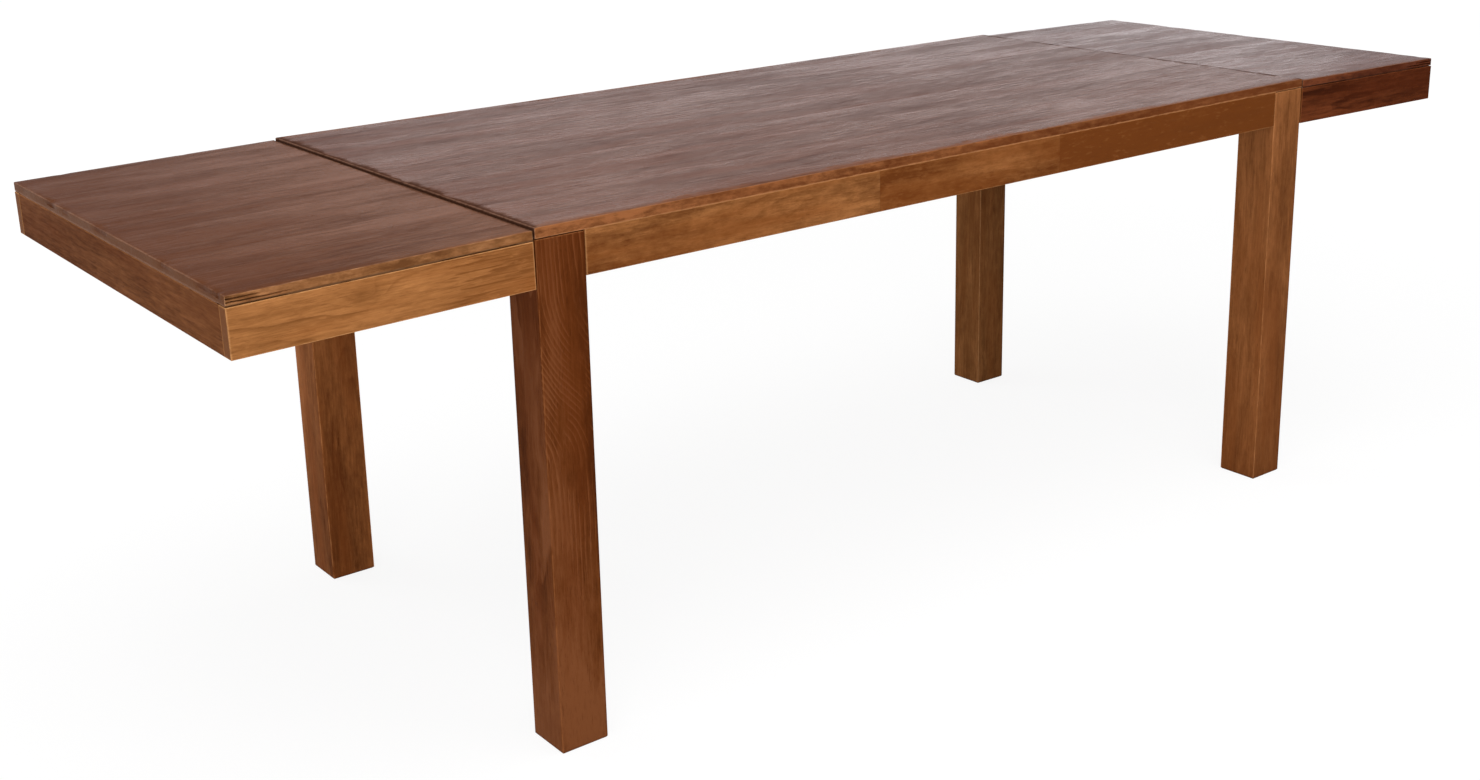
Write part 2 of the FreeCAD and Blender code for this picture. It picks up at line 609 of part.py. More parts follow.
def make_leaf(side, half_turn):
    """One leaf: boards on two cross battens, a skirt on three sides and the two runners."""
    frame = f"{turn('0; 0; 1', half_turn)} * {move(f'{HALF_LENGTH} + dims.leaf_gap', 0, LEAF_TOP)}"
    frame = f"{frame} * {turn('0; 1; 0', 'dims.leaf_droop')}"
    near, far = ("back", "front") if half_turn else ("front", "back")
    prefix = f"{side}_leaf"
    inner_x = "dims.inner_batten_inset"
    batten_step = f"({OUTER_BATTEN_X} - {inner_x})"
    batten_row = ("X_Axis", batten_step, 2)

    board_screws, board_holes = screws(
        f"{prefix}_board_screws", frame,
        seat_on(inner_x, f"-{HALF_WIDTH} + {PLANK_WIDTH} / 2", f"-{RUNNER_TOP}", pitch=-90),
        f"({LEAF_BATTEN} + dims.screw_bite)",
        [batten_row, ("Y_Axis", f"dims.table_width - {PLANK_WIDTH}", PLANK_COUNT)])
    runner_screws, runner_holes = screws(
        f"{prefix}_runner_screws", frame,
        seat_on(inner_x, "-dims.runner_offset", f"-{RUNNER_BOTTOM}", pitch=-90),
        "(dims.runner_height + 2 * dims.screw_bite)",
        [batten_row, ("Y_Axis", "2 * dims.runner_offset", 2)])
    block_middle = "dims.leaf_block_size / 2"
    block_screw_length = "(dims.leaf_block_size + 2 * dims.screw_bite)"
    side_screws, side_holes = screws(
        f"{prefix}_side_screws", frame,
        seat_on(f"{LEAF_BLOCK_X} + {block_middle}", f"-{LEAF_BLOCK_Y}",
                f"-{SKIRT_BOTTOM} + dims.skirt_height / 3", yaw=-90),
        block_screw_length, [("XZ_Plane",)])
    end_screws, end_holes = screws(
        f"{prefix}_end_screws", frame,
        seat_on(LEAF_BLOCK_X, f"-{LEAF_BLOCK_Y} - {block_middle}",
                f"-{SKIRT_BOTTOM} + 2 * dims.skirt_height / 3"),
        block_screw_length, [("XZ_Plane",)])
    dowel_level = f"-({SKIRT_TOP} + {RUNNER_TOP}) / 2"
    dowel_start = f"-{HALF_WIDTH} + dims.skirt_thickness - dims.dowel_bury"
    dowel_copies = [batten_row, ("XZ_Plane",)]
    dowels = turned(
        f"{prefix}_dowels", frame, seat_on(inner_x, dowel_start, dowel_level, yaw=90),
        rod_points("0", "dims.dowel_length", "dims.dowel_radius"), dowel_copies)
    dowel_holes = turned(
        f"{prefix}_dowel_holes", frame, seat_on(inner_x, dowel_start, dowel_level, yaw=90),
        rod_points("-dims.screw_clearance", "dims.dowel_length + dims.screw_clearance",
                   "dims.dowel_radius + dims.screw_clearance"), dowel_copies)
    finish(dowels, f"{prefix}_dowels")
    all_screws = doc.addObject("Part::Compound", f"{prefix}_screws")
    all_screws.Links = [board_screws, runner_screws, side_screws, end_screws]
    finish(all_screws, f"{prefix}_screws")

    for index in range(PLANK_COUNT):
        middle = f"-{HALF_WIDTH} + {index + 0.5} * {PLANK_WIDTH}"
        outer_side = {0: -1, PLANK_COUNT - 1: 1}.get(index, 0)
        place = PLANK_COUNT - index if half_turn else index + 1
        label = f"{prefix}_plank_{place}"
        body = plank(f"{label}_blank", f"{frame} * {move(0, middle, '-dims.leaf_thickness')}",
                     "0", "dims.leaf_length", "dims.leaf_thickness", outer_side)
        drill(body, label, [board_holes])

    skirt_level = f"-{SKIRT_BOTTOM}"
    inner_face = f"({HALF_WIDTH} - dims.skirt_thickness)"
    for name, y in {near: (f"-{HALF_WIDTH}", f"-{inner_face}"), far: (inner_face, HALF_WIDTH)}.items():
        label = f"{prefix}_{name}_skirt"
        body = bar(f"{label}_blank", f"{frame} * {move(0, 0, skirt_level)}", ("0", "dims.leaf_length"), y,
                   "dims.skirt_height")
        ease(body, "Fillet", "dims.crisp_radius", lambda edge: True)
        drill(body, label, [side_holes, dowel_holes])
    end_x = ("dims.leaf_length - dims.skirt_thickness", "dims.leaf_length")
    body = bar(f"{prefix}_end_skirt_blank", f"{frame} * {move(0, 0, skirt_level)}", end_x,
               (f"-{inner_face}", inner_face), "dims.skirt_height")
    outer_x = number("dims.leaf_length")
    ease(body, "Fillet", "dims.crisp_radius",
         lambda edge: runs_along(edge, "Y") and abs(edge.CenterOfMass.x - outer_x) < TINY)
    drill(body, f"{prefix}_end_skirt", [end_holes])

    for name, x in {"inner": inner_x, "outer": OUTER_BATTEN_X}.items():
        label = f"{prefix}_{name}_batten"
        body = bar(f"{label}_blank", f"{frame} * {move(x, 0, f'-{RUNNER_TOP}')}",
                   ("-dims.batten_width / 2", "dims.batten_width / 2"), (f"-{inner_face}", inner_face),
                   LEAF_BATTEN)
        ease_hidden(body, "Y")
        drill(body, label, [board_holes, runner_holes, dowel_holes])

    reach = ("-dims.runner_engaged", "dims.leaf_length - dims.skirt_thickness - dims.runner_end_gap")
    tip_x = -number("dims.runner_engaged")
    for name, y in {near: "-dims.runner_offset", far: "dims.runner_offset"}.items():
        label = f"{prefix}_{name}_runner"
        body = bar(f"{label}_blank", f"{frame} * {move(0, y, f'-{RUNNER_BOTTOM}')}", reach,
                   ("-dims.runner_width / 2", "dims.runner_width / 2"), "dims.runner_height")
        ease(body, "Chamfer", "dims.runner_tip",
             lambda edge: abs(edge.BoundBox.XMax - tip_x) < TINY)
        ease_hidden(body, "X")
        drill(body, label, [runner_holes])

    body = new_body(f"{prefix}_corner_blocks_blank", f"{frame} * {move(0, 0, f'-{LEAF_BLOCK_BOTTOM}')}")
    sketch = new_sketch(body, "XY_Plane")
    outline(sketch, box_points(LEAF_BLOCK_X, f"{LEAF_BLOCK_X} + dims.leaf_block_size",
                               f"-{LEAF_BLOCK_Y} - dims.leaf_block_size", f"-{LEAF_BLOCK_Y}"))
    feature = pad(body, sketch, f"{LEAF_BLOCK_BOTTOM} - dims.leaf_thickness")
    add_copies(body, feature, sketch, [("XZ_Plane",)])
    drill(body, f"{prefix}_corner_blocks", [side_holes, end_holes])


make_nuts()
make_top()
make_corners()
make_frame()
make_battens()
make_hoops()
make_buttons()
make_leaf("left", 180)
make_leaf("right", 0)
doc.recompute()

for thing in doc.Objects:
    if "Invalid" in thing.State or "Error" in thing.State:
        raise RuntimeError(f"{thing.Name} failed: {thing.State}")
for node in nodes:
    if node.Shape.isNull() or not node.Shape.isValid() or not node.Shape.Solids:
        raise RuntimeError(f"{node.Label} has no valid solid")

os.makedirs("parts", exist_ok=True)
for node in nodes:
    node.Shape.exportStep(f"parts/{node.Label}.step")
print(f"{len(nodes)} sub-parts written")
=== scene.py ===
import json
import math
import random

import bmesh
import bpy
from mathutils import Matrix, Vector, noise


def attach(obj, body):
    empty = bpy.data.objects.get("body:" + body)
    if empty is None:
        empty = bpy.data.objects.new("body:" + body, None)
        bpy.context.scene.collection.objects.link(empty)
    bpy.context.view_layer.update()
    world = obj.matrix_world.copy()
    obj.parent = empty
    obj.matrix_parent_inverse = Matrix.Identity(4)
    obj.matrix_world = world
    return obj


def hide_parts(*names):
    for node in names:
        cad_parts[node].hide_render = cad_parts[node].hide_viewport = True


# The looks of a draw leaf table in dark stained hardwood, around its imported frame. Metres, +Z up,
# +X along the table. Every piece keeps its CAD shape, apart from the boards of the top and of the
# leaves, which worn boards replace. Every wooden piece has a timber material of its own, laid out in
# the frame of its board: x along the grain, and the origin in the middle of the board or its panel.

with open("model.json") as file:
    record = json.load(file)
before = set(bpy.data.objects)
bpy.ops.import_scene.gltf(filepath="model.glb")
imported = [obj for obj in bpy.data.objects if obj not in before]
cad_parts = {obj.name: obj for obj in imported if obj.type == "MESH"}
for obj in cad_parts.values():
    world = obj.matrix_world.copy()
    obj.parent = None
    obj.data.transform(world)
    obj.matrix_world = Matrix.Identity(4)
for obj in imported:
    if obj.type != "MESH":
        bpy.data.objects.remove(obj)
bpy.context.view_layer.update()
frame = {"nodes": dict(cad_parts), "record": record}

LEAF_DROOP = math.radians(0.85)
WHITE = (1.0, 1.0, 1.0, 1.0)


# ---------------------------------------------------------------- camera and lights

# The camera's place in metres, its turns in radians, its focal length in pixels of the image, and the
# row of the image that is straight ahead of it.
IMAGE_SIZE = (1480, 780)
SENSOR_WIDTH = 36.0
CAMERA_PLACE = (-1.9222, -2.3021, 1.2997)
CAMERA_HEADING = 0.6506
CAMERA_PITCH = -0.2719
CAMERA_ROLL = -0.0227
FOCAL_PIXELS = 1784.9
CENTRE_ROW = 270
NEAREST_SEEN = 0.05
FARTHEST_SEEN = 100

# Each light's place, the point that it looks at, its width and height, and its power in watts.
LIGHTS = {
    "overhead": ((-0.4, -0.8, 3.2), (0, 0, 0.7), (3.6, 2.6), 72),
    "front_fill": ((-4.8, -6.0, 2.6), (0, 0, 0.5), (4.5, 3.2), 250),
    "back_fill": ((-3.6, 5.2, 2.4), (0, 0, 0.5), (3.5, 2.4), 90),
    "back_sheen": ((3.8, 4.4, 1.16), (0.2, 0.1, 0.75), (5.0, 0.9), 13),
}


def make_camera():
    """The camera, from its place, its heading clockwise from +Y, its pitch and its roll in radians."""
    data = bpy.data.cameras.new("camera")
    data.sensor_width = SENSOR_WIDTH
    data.lens = FOCAL_PIXELS * SENSOR_WIDTH / IMAGE_SIZE[0]
    data.shift_y = (CENTRE_ROW - IMAGE_SIZE[1] / 2) / IMAGE_SIZE[0]
    data.clip_start = NEAREST_SEEN
    data.clip_end = FARTHEST_SEEN
    camera = bpy.data.objects.new("camera", data)
    turn = (Matrix.Rotation(-CAMERA_HEADING, 4, "Z") @ Matrix.Rotation(math.pi / 2 + CAMERA_PITCH, 4, "X")
            @ Matrix.Rotation(CAMERA_ROLL, 4, "Z"))
    camera.matrix_world = Matrix.Translation(CAMERA_PLACE) @ turn
    bpy.context.scene.collection.objects.link(camera)
    bpy.context.scene.camera = camera


def add_softbox(name, place, aim, size, power):
    """A rectangular area light that looks at a point."""
    data = bpy.data.lights.new(name, "AREA")
    data.shape = "RECTANGLE"
    data.size, data.size_y = size
    data.energy = power
    light = bpy.data.objects.new(name, data)
    light.location = place
    light.rotation_mode = "QUATERNION"
    light.rotation_quaternion = (Vector(aim) - Vector(place)).to_track_quat("-Z", "Y")
    bpy.context.scene.collection.objects.link(light)


# ---------------------------------------------------------------- nodes and colours

class Tree:
    """Short calls for making nodes: a value that isn't a socket is set on the input itself."""

    def __init__(self, tree):
        self.tree = tree

    def node(self, kind, **settings):
        made = self.tree.nodes.new(kind)
        for name, value in settings.items():
            setattr(made, name, value)
        return made

    def feed(self, socket, value):
        if isinstance(value, bpy.types.NodeSocket):
            self.tree.links.new(value, socket)
        else:
            socket.default_value = value

    def math(self, operation, *values, clamp=False):
        made = self.node("ShaderNodeMath", operation=operation, use_clamp=clamp)
        for socket, value in zip(made.inputs, values):
            self.feed(socket, value)
        return made.outputs[0]

    def vector(self, operation, *values):
        made = self.node("ShaderNodeVectorMath", operation=operation)
        for socket, value in zip(made.inputs, values):
            self.feed(socket, value)
        return made.outputs["Value" if operation == "LENGTH" else "Vector"]

    def split(self, vector):
        made = self.node("ShaderNodeSeparateXYZ")
        self.feed(made.inputs[0], vector)
        return made.outputs[0], made.outputs[1], made.outputs[2]

    def join(self, x, y, z):
        made = self.node("ShaderNodeCombineXYZ")
        for socket, value in zip(made.inputs, (x, y, z)):
            self.feed(socket, value)
        return made.outputs[0]

    def span(self, value, low, high, start=0.0, end=1.0, smooth=False):
        """A value's way from low to high, as a number from start to end."""
        made = self.node("ShaderNodeMapRange", interpolation_type="SMOOTHSTEP" if smooth else "LINEAR")
        for socket, number in zip(made.inputs, (value, low, high, start, end)):
            self.feed(socket, number)
        return made.outputs[0]

    def noise(self, vector, stretch, detail=2.0, roughness=0.5, shift=None):
        """Noise from 0 to 1 whose cells are 1 / stretch metres long in each direction."""
        if shift:
            vector = self.vector("ADD", vector, shift)
        made = self.node("ShaderNodeTexNoise", noise_dimensions="3D")
        self.feed(made.inputs["Vector"], self.vector("MULTIPLY", vector, stretch))
        made.inputs["Scale"].default_value = 1.0
        made.inputs["Detail"].default_value = detail
        made.inputs["Roughness"].default_value = roughness
        return made.outputs[0]

    def swing(self, vector, **settings):
        """The same noise, from -0.5 to 0.5."""
        return self.math("SUBTRACT", self.noise(vector, **settings), 0.5)

    def mix(self, factor, first, second, blend="MIX"):
        made = self.node("ShaderNodeMix", data_type="RGBA", blend_type=blend)
        self.feed(made.inputs[0], factor)
        self.feed(made.inputs[6], first)
        self.feed(made.inputs[7], second)
        return made.outputs[2]


def paint(red, green, blue):
    """A colour written as screen values from 0 to 255, as Blender's linear colour."""
    def linear(level):
        share = level / 255
        return share / 12.92 if share <= 0.04045 else ((share + 0.055) / 1.055) ** 2.4
    return (linear(red), linear(green), linear(blue), 1.0)


# ---------------------------------------------------------------- sky and floor

# What the sky gives the object, and what gloss sees of it: a cool horizon below a dim ceiling, which
# sets in between two heights of a ray.
SKY_FOR_OBJECT = 0.42
GLOSS_TINT = (0.91, 0.9, 1.0, 1.0)
CEILING_FOR_GLOSS = 0.1
CEILING_STARTS = (0.03, 0.38)

# The floor glows so that it is nearly white where it is seen, from near the table to far off, and
# still takes a little light, so that it shows the table's shadow.
FLOOR_RADIUS = 14.0
FLOOR_CORNERS = 96
FLOOR_COLOUR = (0.8, 0.8, 0.8, 1.0)
FLOOR_GLOW = (0.89, 0.96)
FLOOR_GLOW_REACH = (1.6, 4.5)
FLOOR_SHADOW_SHARE = (0.13, 0.13, 0.13, 1.0)


def seen_directly(tree, gloss=1.0):
    """1 for rays from the camera and through glass, and a share of its own for rays from gloss."""
    path = tree.node("ShaderNodeLightPath")
    glossy = tree.math("MULTIPLY", path.outputs["Is Glossy Ray"], gloss)
    clear = tree.math("MAXIMUM", path.outputs["Is Camera Ray"], path.outputs["Is Transmission Ray"])
    return tree.math("MAXIMUM", glossy, clear)


def make_world():
    """A sky that is white where it is seen, a grey fill on the object, and a dim ceiling in its gloss."""
    world = bpy.data.worlds.new("studio")
    world.use_nodes = True
    bpy.context.scene.world = world
    tree = Tree(world.node_tree)
    background = world.node_tree.nodes["Background"]
    where = tree.node("ShaderNodeTexCoord")
    _, _, height = tree.split(where.outputs["Generated"])
    ceiling = tree.span(height, *CEILING_STARTS, 1, CEILING_FOR_GLOSS, smooth=True)
    strength = tree.span(seen_directly(tree, ceiling), 0, 1, SKY_FOR_OBJECT, 1)
    glossy = tree.node("ShaderNodeLightPath").outputs["Is Glossy Ray"]
    tree.feed(background.inputs["Strength"], strength)
    tree.feed(background.inputs["Color"], tree.mix(glossy, WHITE, GLOSS_TINT))


def make_floor():
    """A round white floor that still shows the shadow of the table."""
    mesh = bpy.data.meshes.new("floor")
    turns = [2 * math.pi * i / FLOOR_CORNERS for i in range(FLOOR_CORNERS)]
    ring = [(FLOOR_RADIUS * math.cos(turn), FLOOR_RADIUS * math.sin(turn), 0) for turn in turns]
    mesh.from_pydata(ring, [], [tuple(range(FLOOR_CORNERS))])
    floor = bpy.data.objects.new("floor", mesh)
    bpy.context.scene.collection.objects.link(floor)
    material = bpy.data.materials.new("floor")
    material.use_nodes = True
    material.node_tree.nodes.clear()
    tree = Tree(material.node_tree)
    plain = tree.node("ShaderNodeBsdfDiffuse")
    plain.inputs["Color"].default_value = FLOOR_COLOUR
    shadowed = tree.node("ShaderNodeBsdfDiffuse")
    shadowed.inputs["Color"].default_value = FLOOR_SHADOW_SHARE
    glow = tree.node("ShaderNodeEmission")
    where = tree.node("ShaderNodeTexCoord")
    distance = tree.vector("LENGTH", where.outputs["Object"])
    tree.feed(glow.inputs["Strength"], tree.span(distance, *FLOOR_GLOW_REACH, *FLOOR_GLOW, smooth=True))
    both = tree.node("ShaderNodeAddShader")
    tree.feed(both.inputs[0], shadowed.outputs[0])
    tree.feed(both.inputs[1], glow.outputs[0])
    choice = tree.node("ShaderNodeMixShader")
    tree.feed(choice.inputs[0], seen_directly(tree))
    tree.feed(choice.inputs[1], plain.outputs[0])
    tree.feed(choice.inputs[2], both.outputs[0])
    tree.feed(tree.node("ShaderNodeOutputMaterial").inputs[0], choice.outputs[0])
    mesh.materials.append(material)


# ---------------------------------------------------------------- timber

# A place along a board that is past every board's end, and one that is off in all directions.
PAST_ALL_ENDS = 9
NOWHERE = (PAST_ALL_ENDS, PAST_ALL_ENDS, PAST_ALL_ENDS)

# What the timber group is given, and what it has where a finish leaves a word out.
TIMBER_COLOURS = ("Dark", "Body", "Light", "Flush", "Edge", "End", "Worn Highlight")
TIMBER_VECTORS = {
    "Place": (0, 0, 0),
    "Half": (0.5, 0.1, 0.01),   # half the size of the board or its panel
    "Pith": (0, 0, -0.12),      # where the heart of the tree is
    "Seams": NOWHERE,           # where along the board its lengths are joined
    "Steps": (0, 0, 0),         # how much lighter the wood is beyond each seam
    "Sweep": (0, 0, 1),         # a flame on the front: how far its rings lean, from where and to where
    "Knot": NOWHERE,
}
TIMBER_NUMBERS = {
    "Seed": 0.0,
    "Ring Width": 0.006,
    "Ring Contrast": 0.25,
    "Bands": 0.4,
    "Streaks": 0.5,
    "Fibres": 0.5,
    "Blotches": 0.5,
    "Mottle": 0.6,
    "Flecks": 0.4,
    "Lines": 0.0,
    # The next is partly the board's own tone and partly painted light and shade along it.
    "Fade": 0.0,                # how much lighter the far end of the board is than its middle
    "Strip Width": 4.0,
    "Tone Contrast": 0.0,       # how much its strips and lengths differ
    "Joint": 0.0,
    "Knot Size": 0.02,
    "Edge Band": 0.003,         # the width of the differently coloured band along its sides
    # The next two darken a board's ends: painted shade where the top and the leaves meet, and a darker foot
    # on a leg.
    "Start Darkening": 0.0,
    "End Darkening": 0.0,
    "End Grain": 0.25,
    # The wear numbers here make a rubbed edge: real wear, lit with a painted highlight.
    "End Rubbed Highlight": 0.0,
    # The next is painted shade along the lower edge of a leaf's boards, over the slit to its skirts.
    "Slit Shade": 0.0,
    "Rubbed Highlight": 0.5,
    "Rubbed Highlight Reach": 0.0012,
    "Gloss": 0.5,
}
TIMBER_INPUTS = {
    **{name: ("NodeSocketColor", WHITE) for name in TIMBER_COLOURS},
    **{name: ("NodeSocketVector", value) for name, value in TIMBER_VECTORS.items()},
    **{name: ("NodeSocketFloat", value) for name, value in TIMBER_NUMBERS.items()},
}
TIMBER_OUTPUTS = {"Color": "NodeSocketColor", "Roughness": "NodeSocketFloat", "Height": "NodeSocketFloat"}

# The layers of the figure, each with the strength that the input of its name gives it.
LAYERS = {
    "Bands": {"stretch": (5, 46, 46), "roughness": 0.6},
    "Streaks": {"stretch": (14, 190, 190), "detail": 4, "roughness": 0.6},
    "Fibres": {"stretch": (24, 360, 360), "detail": 3, "roughness": 0.7},
    "Blotches": {"stretch": (2.6, 11, 11), "detail": 3, "roughness": 0.55},
    "Mottle": {"stretch": (38, 80, 80), "detail": 5, "roughness": 0.72},
}

# The other noises over a board.
NOISES = {
    "waver": {"stretch": (6, 9, 9)},
    "slow ring waver": {"stretch": (1.4, 5, 5)},
    "quick ring waver": {"stretch": (7, 26, 26), "detail": 3},
    "years": {"stretch": (0.55, 1, 1)},
    "ring patches": {"stretch": (9, 26, 26), "shift": (2, 8, 4)},
    "lines": {"stretch": (6, 480, 480), "detail": 1, "shift": (1, 7, 2)},
    "pores": {"stretch": (60, 1100, 1100), "detail": 1},
    "pore patches": {"stretch": (9, 30, 30)},
    "flecks": {"stretch": (42, 190, 190), "roughness": 0.7, "shift": (5, 3, 1)},
    "flush": {"stretch": (3, 26, 26), "detail": 3, "shift": (9, 9, 9)},
    "ragged": {"stretch": (60, 160, 160), "detail": 3, "roughness": 0.6},
    "uneven": {"stretch": (7, 14, 14), "detail": 3},
}

# From where to where a value is spread, and the numbers that this gives, where they aren't 0 and 1.
SPANS = {
    "front": (0.003, 0.008, 1, 0),
    "late wood's end": (0.93, 1.0, 1.0, 0.25),
    "years": (0.35, 0.65, 0.1, 1.0),
    "ring patches": (0.4, 0.6),
    "seam": (0.0003, 0.0013, 1, 0),
    "strip joint": (0.0002, 0.0008, 0.5, 0),
    "lines": (0.52, 0.68),
    "lined part": (0.04, 0.13, 0, -1),
    "pores": (0.62, 0.7),
    "pore patches": (0.4, 0.6),
    "dark flecks": (0.6, 0.7),
    "pale flecks": (0.4, 0.3),
    "flush": (0.42, 0.66),
    "band": (0.35, 0.65, 0.15, 1.6),
    "band's raggedness": (0.3, 0.7, 0.5, 1.5),
    "highlight's reach": (0.3, 0.7, 0.7, 1.8),
    "highlight's raggedness": (0.3, 0.5, 0.45, 1),
    "highlight beside an end": (0.0008, 0.0024, 1, 0),
    "depth of an end": (0.002, 0.003, 1, 0),
    "end grain": (0.0002, 0.001, 1, 0),
    "middle": (-0.01, 0.01),
    "lower edge": (0.0006, 0.002, 1, 0),
    "roughness": (0, 1, 0.86, 0.31),
}

# How far the seed and each glued length shift the figure, and how far noise bends the grain and rings.
SEED_SHIFT = (3.7, 1.9, 5.3)
LENGTH_SHIFT = (4.0, 0.5, 0.5)
WAVER_REACH = 0.02
SLOW_RING_REACH = 0.07
QUICK_RING_REACH = 0.009

# How steeply a ring darkens towards its late wood, the least lean that counts as a flame, how far
# before the flame the rings fade in, and how a knot stretches, pushes and darkens the wood around it.
LATE_WOOD_POWER = 4.0
SMALLEST_SWEEP = 0.001
FLAME_FADE = 0.25
KNOT_STRETCH = (2.2, 1, 1)
KNOT_PUSH = 0.7
KNOT_DARKNESS = -0.4

# How much flush the wood loses as it fades to a lighter tone, by its own tone and by painted light.
FLUSH_BY_FADING = -2.2

# How far each of these covers the wood, and how much darker than late wood the darkening is: painted shade
# at the ends where the panels meet and along the leaves' lower edges, and a darker foot on the legs.
FLUSH_COVER = 0.55
PALE_FLECK_COVER = 0.6
DARK_FLECK_COVER = 0.7
PORE_COVER = 0.5
DARKENING = (0.5, 0.44, 0.4, 1.0)

# How far in the band along an edge and a rubbed edge with its painted highlight start to fade, as shares of
# their reach.
BAND_FADES_FROM = 0.65
RUBBED_HIGHLIGHT_FADES_FROM = 0.25

# How far in from an end the darkening starts to fade, and how far in it ends: so many metres, and a share
# of the band's width. Where the top and the leaves meet, this darkening is painted shade.
DARKENING_FADES_FROM = 0.0015
DARKENING_DEPTH = 0.003
DARKENING_BY_BAND = 0.7

# How much rougher each of these makes the wood, and how much it raises its skin.
ROUGHNESS_BY_LEVEL = -0.17
ROUGHNESS_BY_EDGE = 0.12
ROUGHNESS_BY_DARKENING = 0.5
ROUGHNESS_BY_RUBBED_HIGHLIGHT = 0.1
HEIGHTS = {"Streaks": 0.5, "Mottle": 0.2, "rings": -0.12, "Fibres": 0.5, "pores": -0.35, "joint": -0.5}


def ring_figure(tree, given, place, seeded):
    """The growth rings, by the distance from the wavering heart of the tree, and how near the knot is."""
    along, across, deep = tree.split(place)
    sweep_by, sweep_from, sweep_to = tree.split(given["Sweep"])
    _, half_width, _ = tree.split(given["Half"])
    on_front = tree.span(tree.math("ADD", across, half_width), *SPANS["front"])
    sweep = tree.math("MULTIPLY", tree.span(along, sweep_from, sweep_to, smooth=True), sweep_by)
    sweep = tree.math("MULTIPLY", sweep, on_front)
    knot_gap = tree.vector("DIVIDE", tree.vector("SUBTRACT", place, given["Knot"]), KNOT_STRETCH)
    knot_reach = tree.math("DIVIDE", tree.vector("LENGTH", knot_gap), given["Knot Size"])
    knot = tree.math("EXPONENT", tree.math("MULTIPLY", tree.math("POWER", knot_reach, 2.0), -1.0))

    _, pith_y, pith_z = tree.split(given["Pith"])
    side = tree.math("SUBTRACT", across, pith_y)
    rise = tree.math("ADD", tree.math("SUBTRACT", deep, pith_z), sweep)
    reach = tree.math("SQRT", tree.math("ADD", tree.math("POWER", side, 2.0), tree.math("POWER", rise, 2.0)))
    slow = tree.swing(seeded, **NOISES["slow ring waver"])
    quick = tree.swing(seeded, **NOISES["quick ring waver"])
    reach = tree.math("MULTIPLY_ADD", slow, SLOW_RING_REACH, reach)
    reach = tree.math("MULTIPLY_ADD", quick, QUICK_RING_REACH, reach)
    reach = tree.math("MULTIPLY_ADD", knot, tree.math("MULTIPLY", given["Knot Size"], KNOT_PUSH), reach)

    count = tree.math("DIVIDE", reach, given["Ring Width"])
    season = tree.math("FRACT", count)
    late_wood = tree.math("POWER", season, LATE_WOOD_POWER)
    softened = tree.math("MULTIPLY", late_wood, tree.span(season, *SPANS["late wood's end"]))
    year = tree.span(tree.noise(tree.join(count, given["Seed"], 0.0), **NOISES["years"]), *SPANS["years"])
    patchy = tree.span(tree.noise(seeded, **NOISES["ring patches"]), *SPANS["ring patches"])
    strength = tree.math("MULTIPLY", year, patchy)
    no_flame = tree.math("LESS_THAN", tree.math("ABSOLUTE", sweep_by), SMALLEST_SWEEP)
    in_flame = tree.span(along, tree.math("SUBTRACT", sweep_from, FLAME_FADE), sweep_from, smooth=True)
    strength = tree.math("MULTIPLY", strength, tree.math("MAXIMUM", no_flame, in_flame))
    return tree.math("MULTIPLY", softened, strength), knot


def glued_pattern(tree, given, place):
    """The lengths and strips that a board is glued up from: their own random tones, and the joint lines."""
    along, across, _ = tree.split(place)
    passed = 0.0
    rise = 0.0
    joint = 0.0
    for seam, step in zip(tree.split(given["Seams"]), tree.split(given["Steps"])):
        beyond = tree.math("GREATER_THAN", along, seam)
        passed = tree.math("ADD", beyond, passed)
        rise = tree.math("MULTIPLY_ADD", beyond, step, rise)
        gap = tree.math("ABSOLUTE", tree.math("SUBTRACT", along, seam))
        joint = tree.math("MAXIMUM", tree.span(gap, *SPANS["seam"]), joint)
    row = tree.math("ADD", tree.math("DIVIDE", across, given["Strip Width"]), 0.5)
    side_gap = tree.math("MULTIPLY", tree.math("PINGPONG", row, 0.5), given["Strip Width"])
    joint = tree.math("MAXIMUM", tree.span(side_gap, *SPANS["strip joint"]), joint)
    strip = tree.node("ShaderNodeTexWhiteNoise", noise_dimensions="3D")
    tree.feed(strip.inputs["Vector"], tree.join(tree.math("FLOOR", row), passed, given["Seed"]))
    return strip.outputs["Value"], strip.outputs["Color"], rise, tree.math("MULTIPLY", joint, given["Joint"])


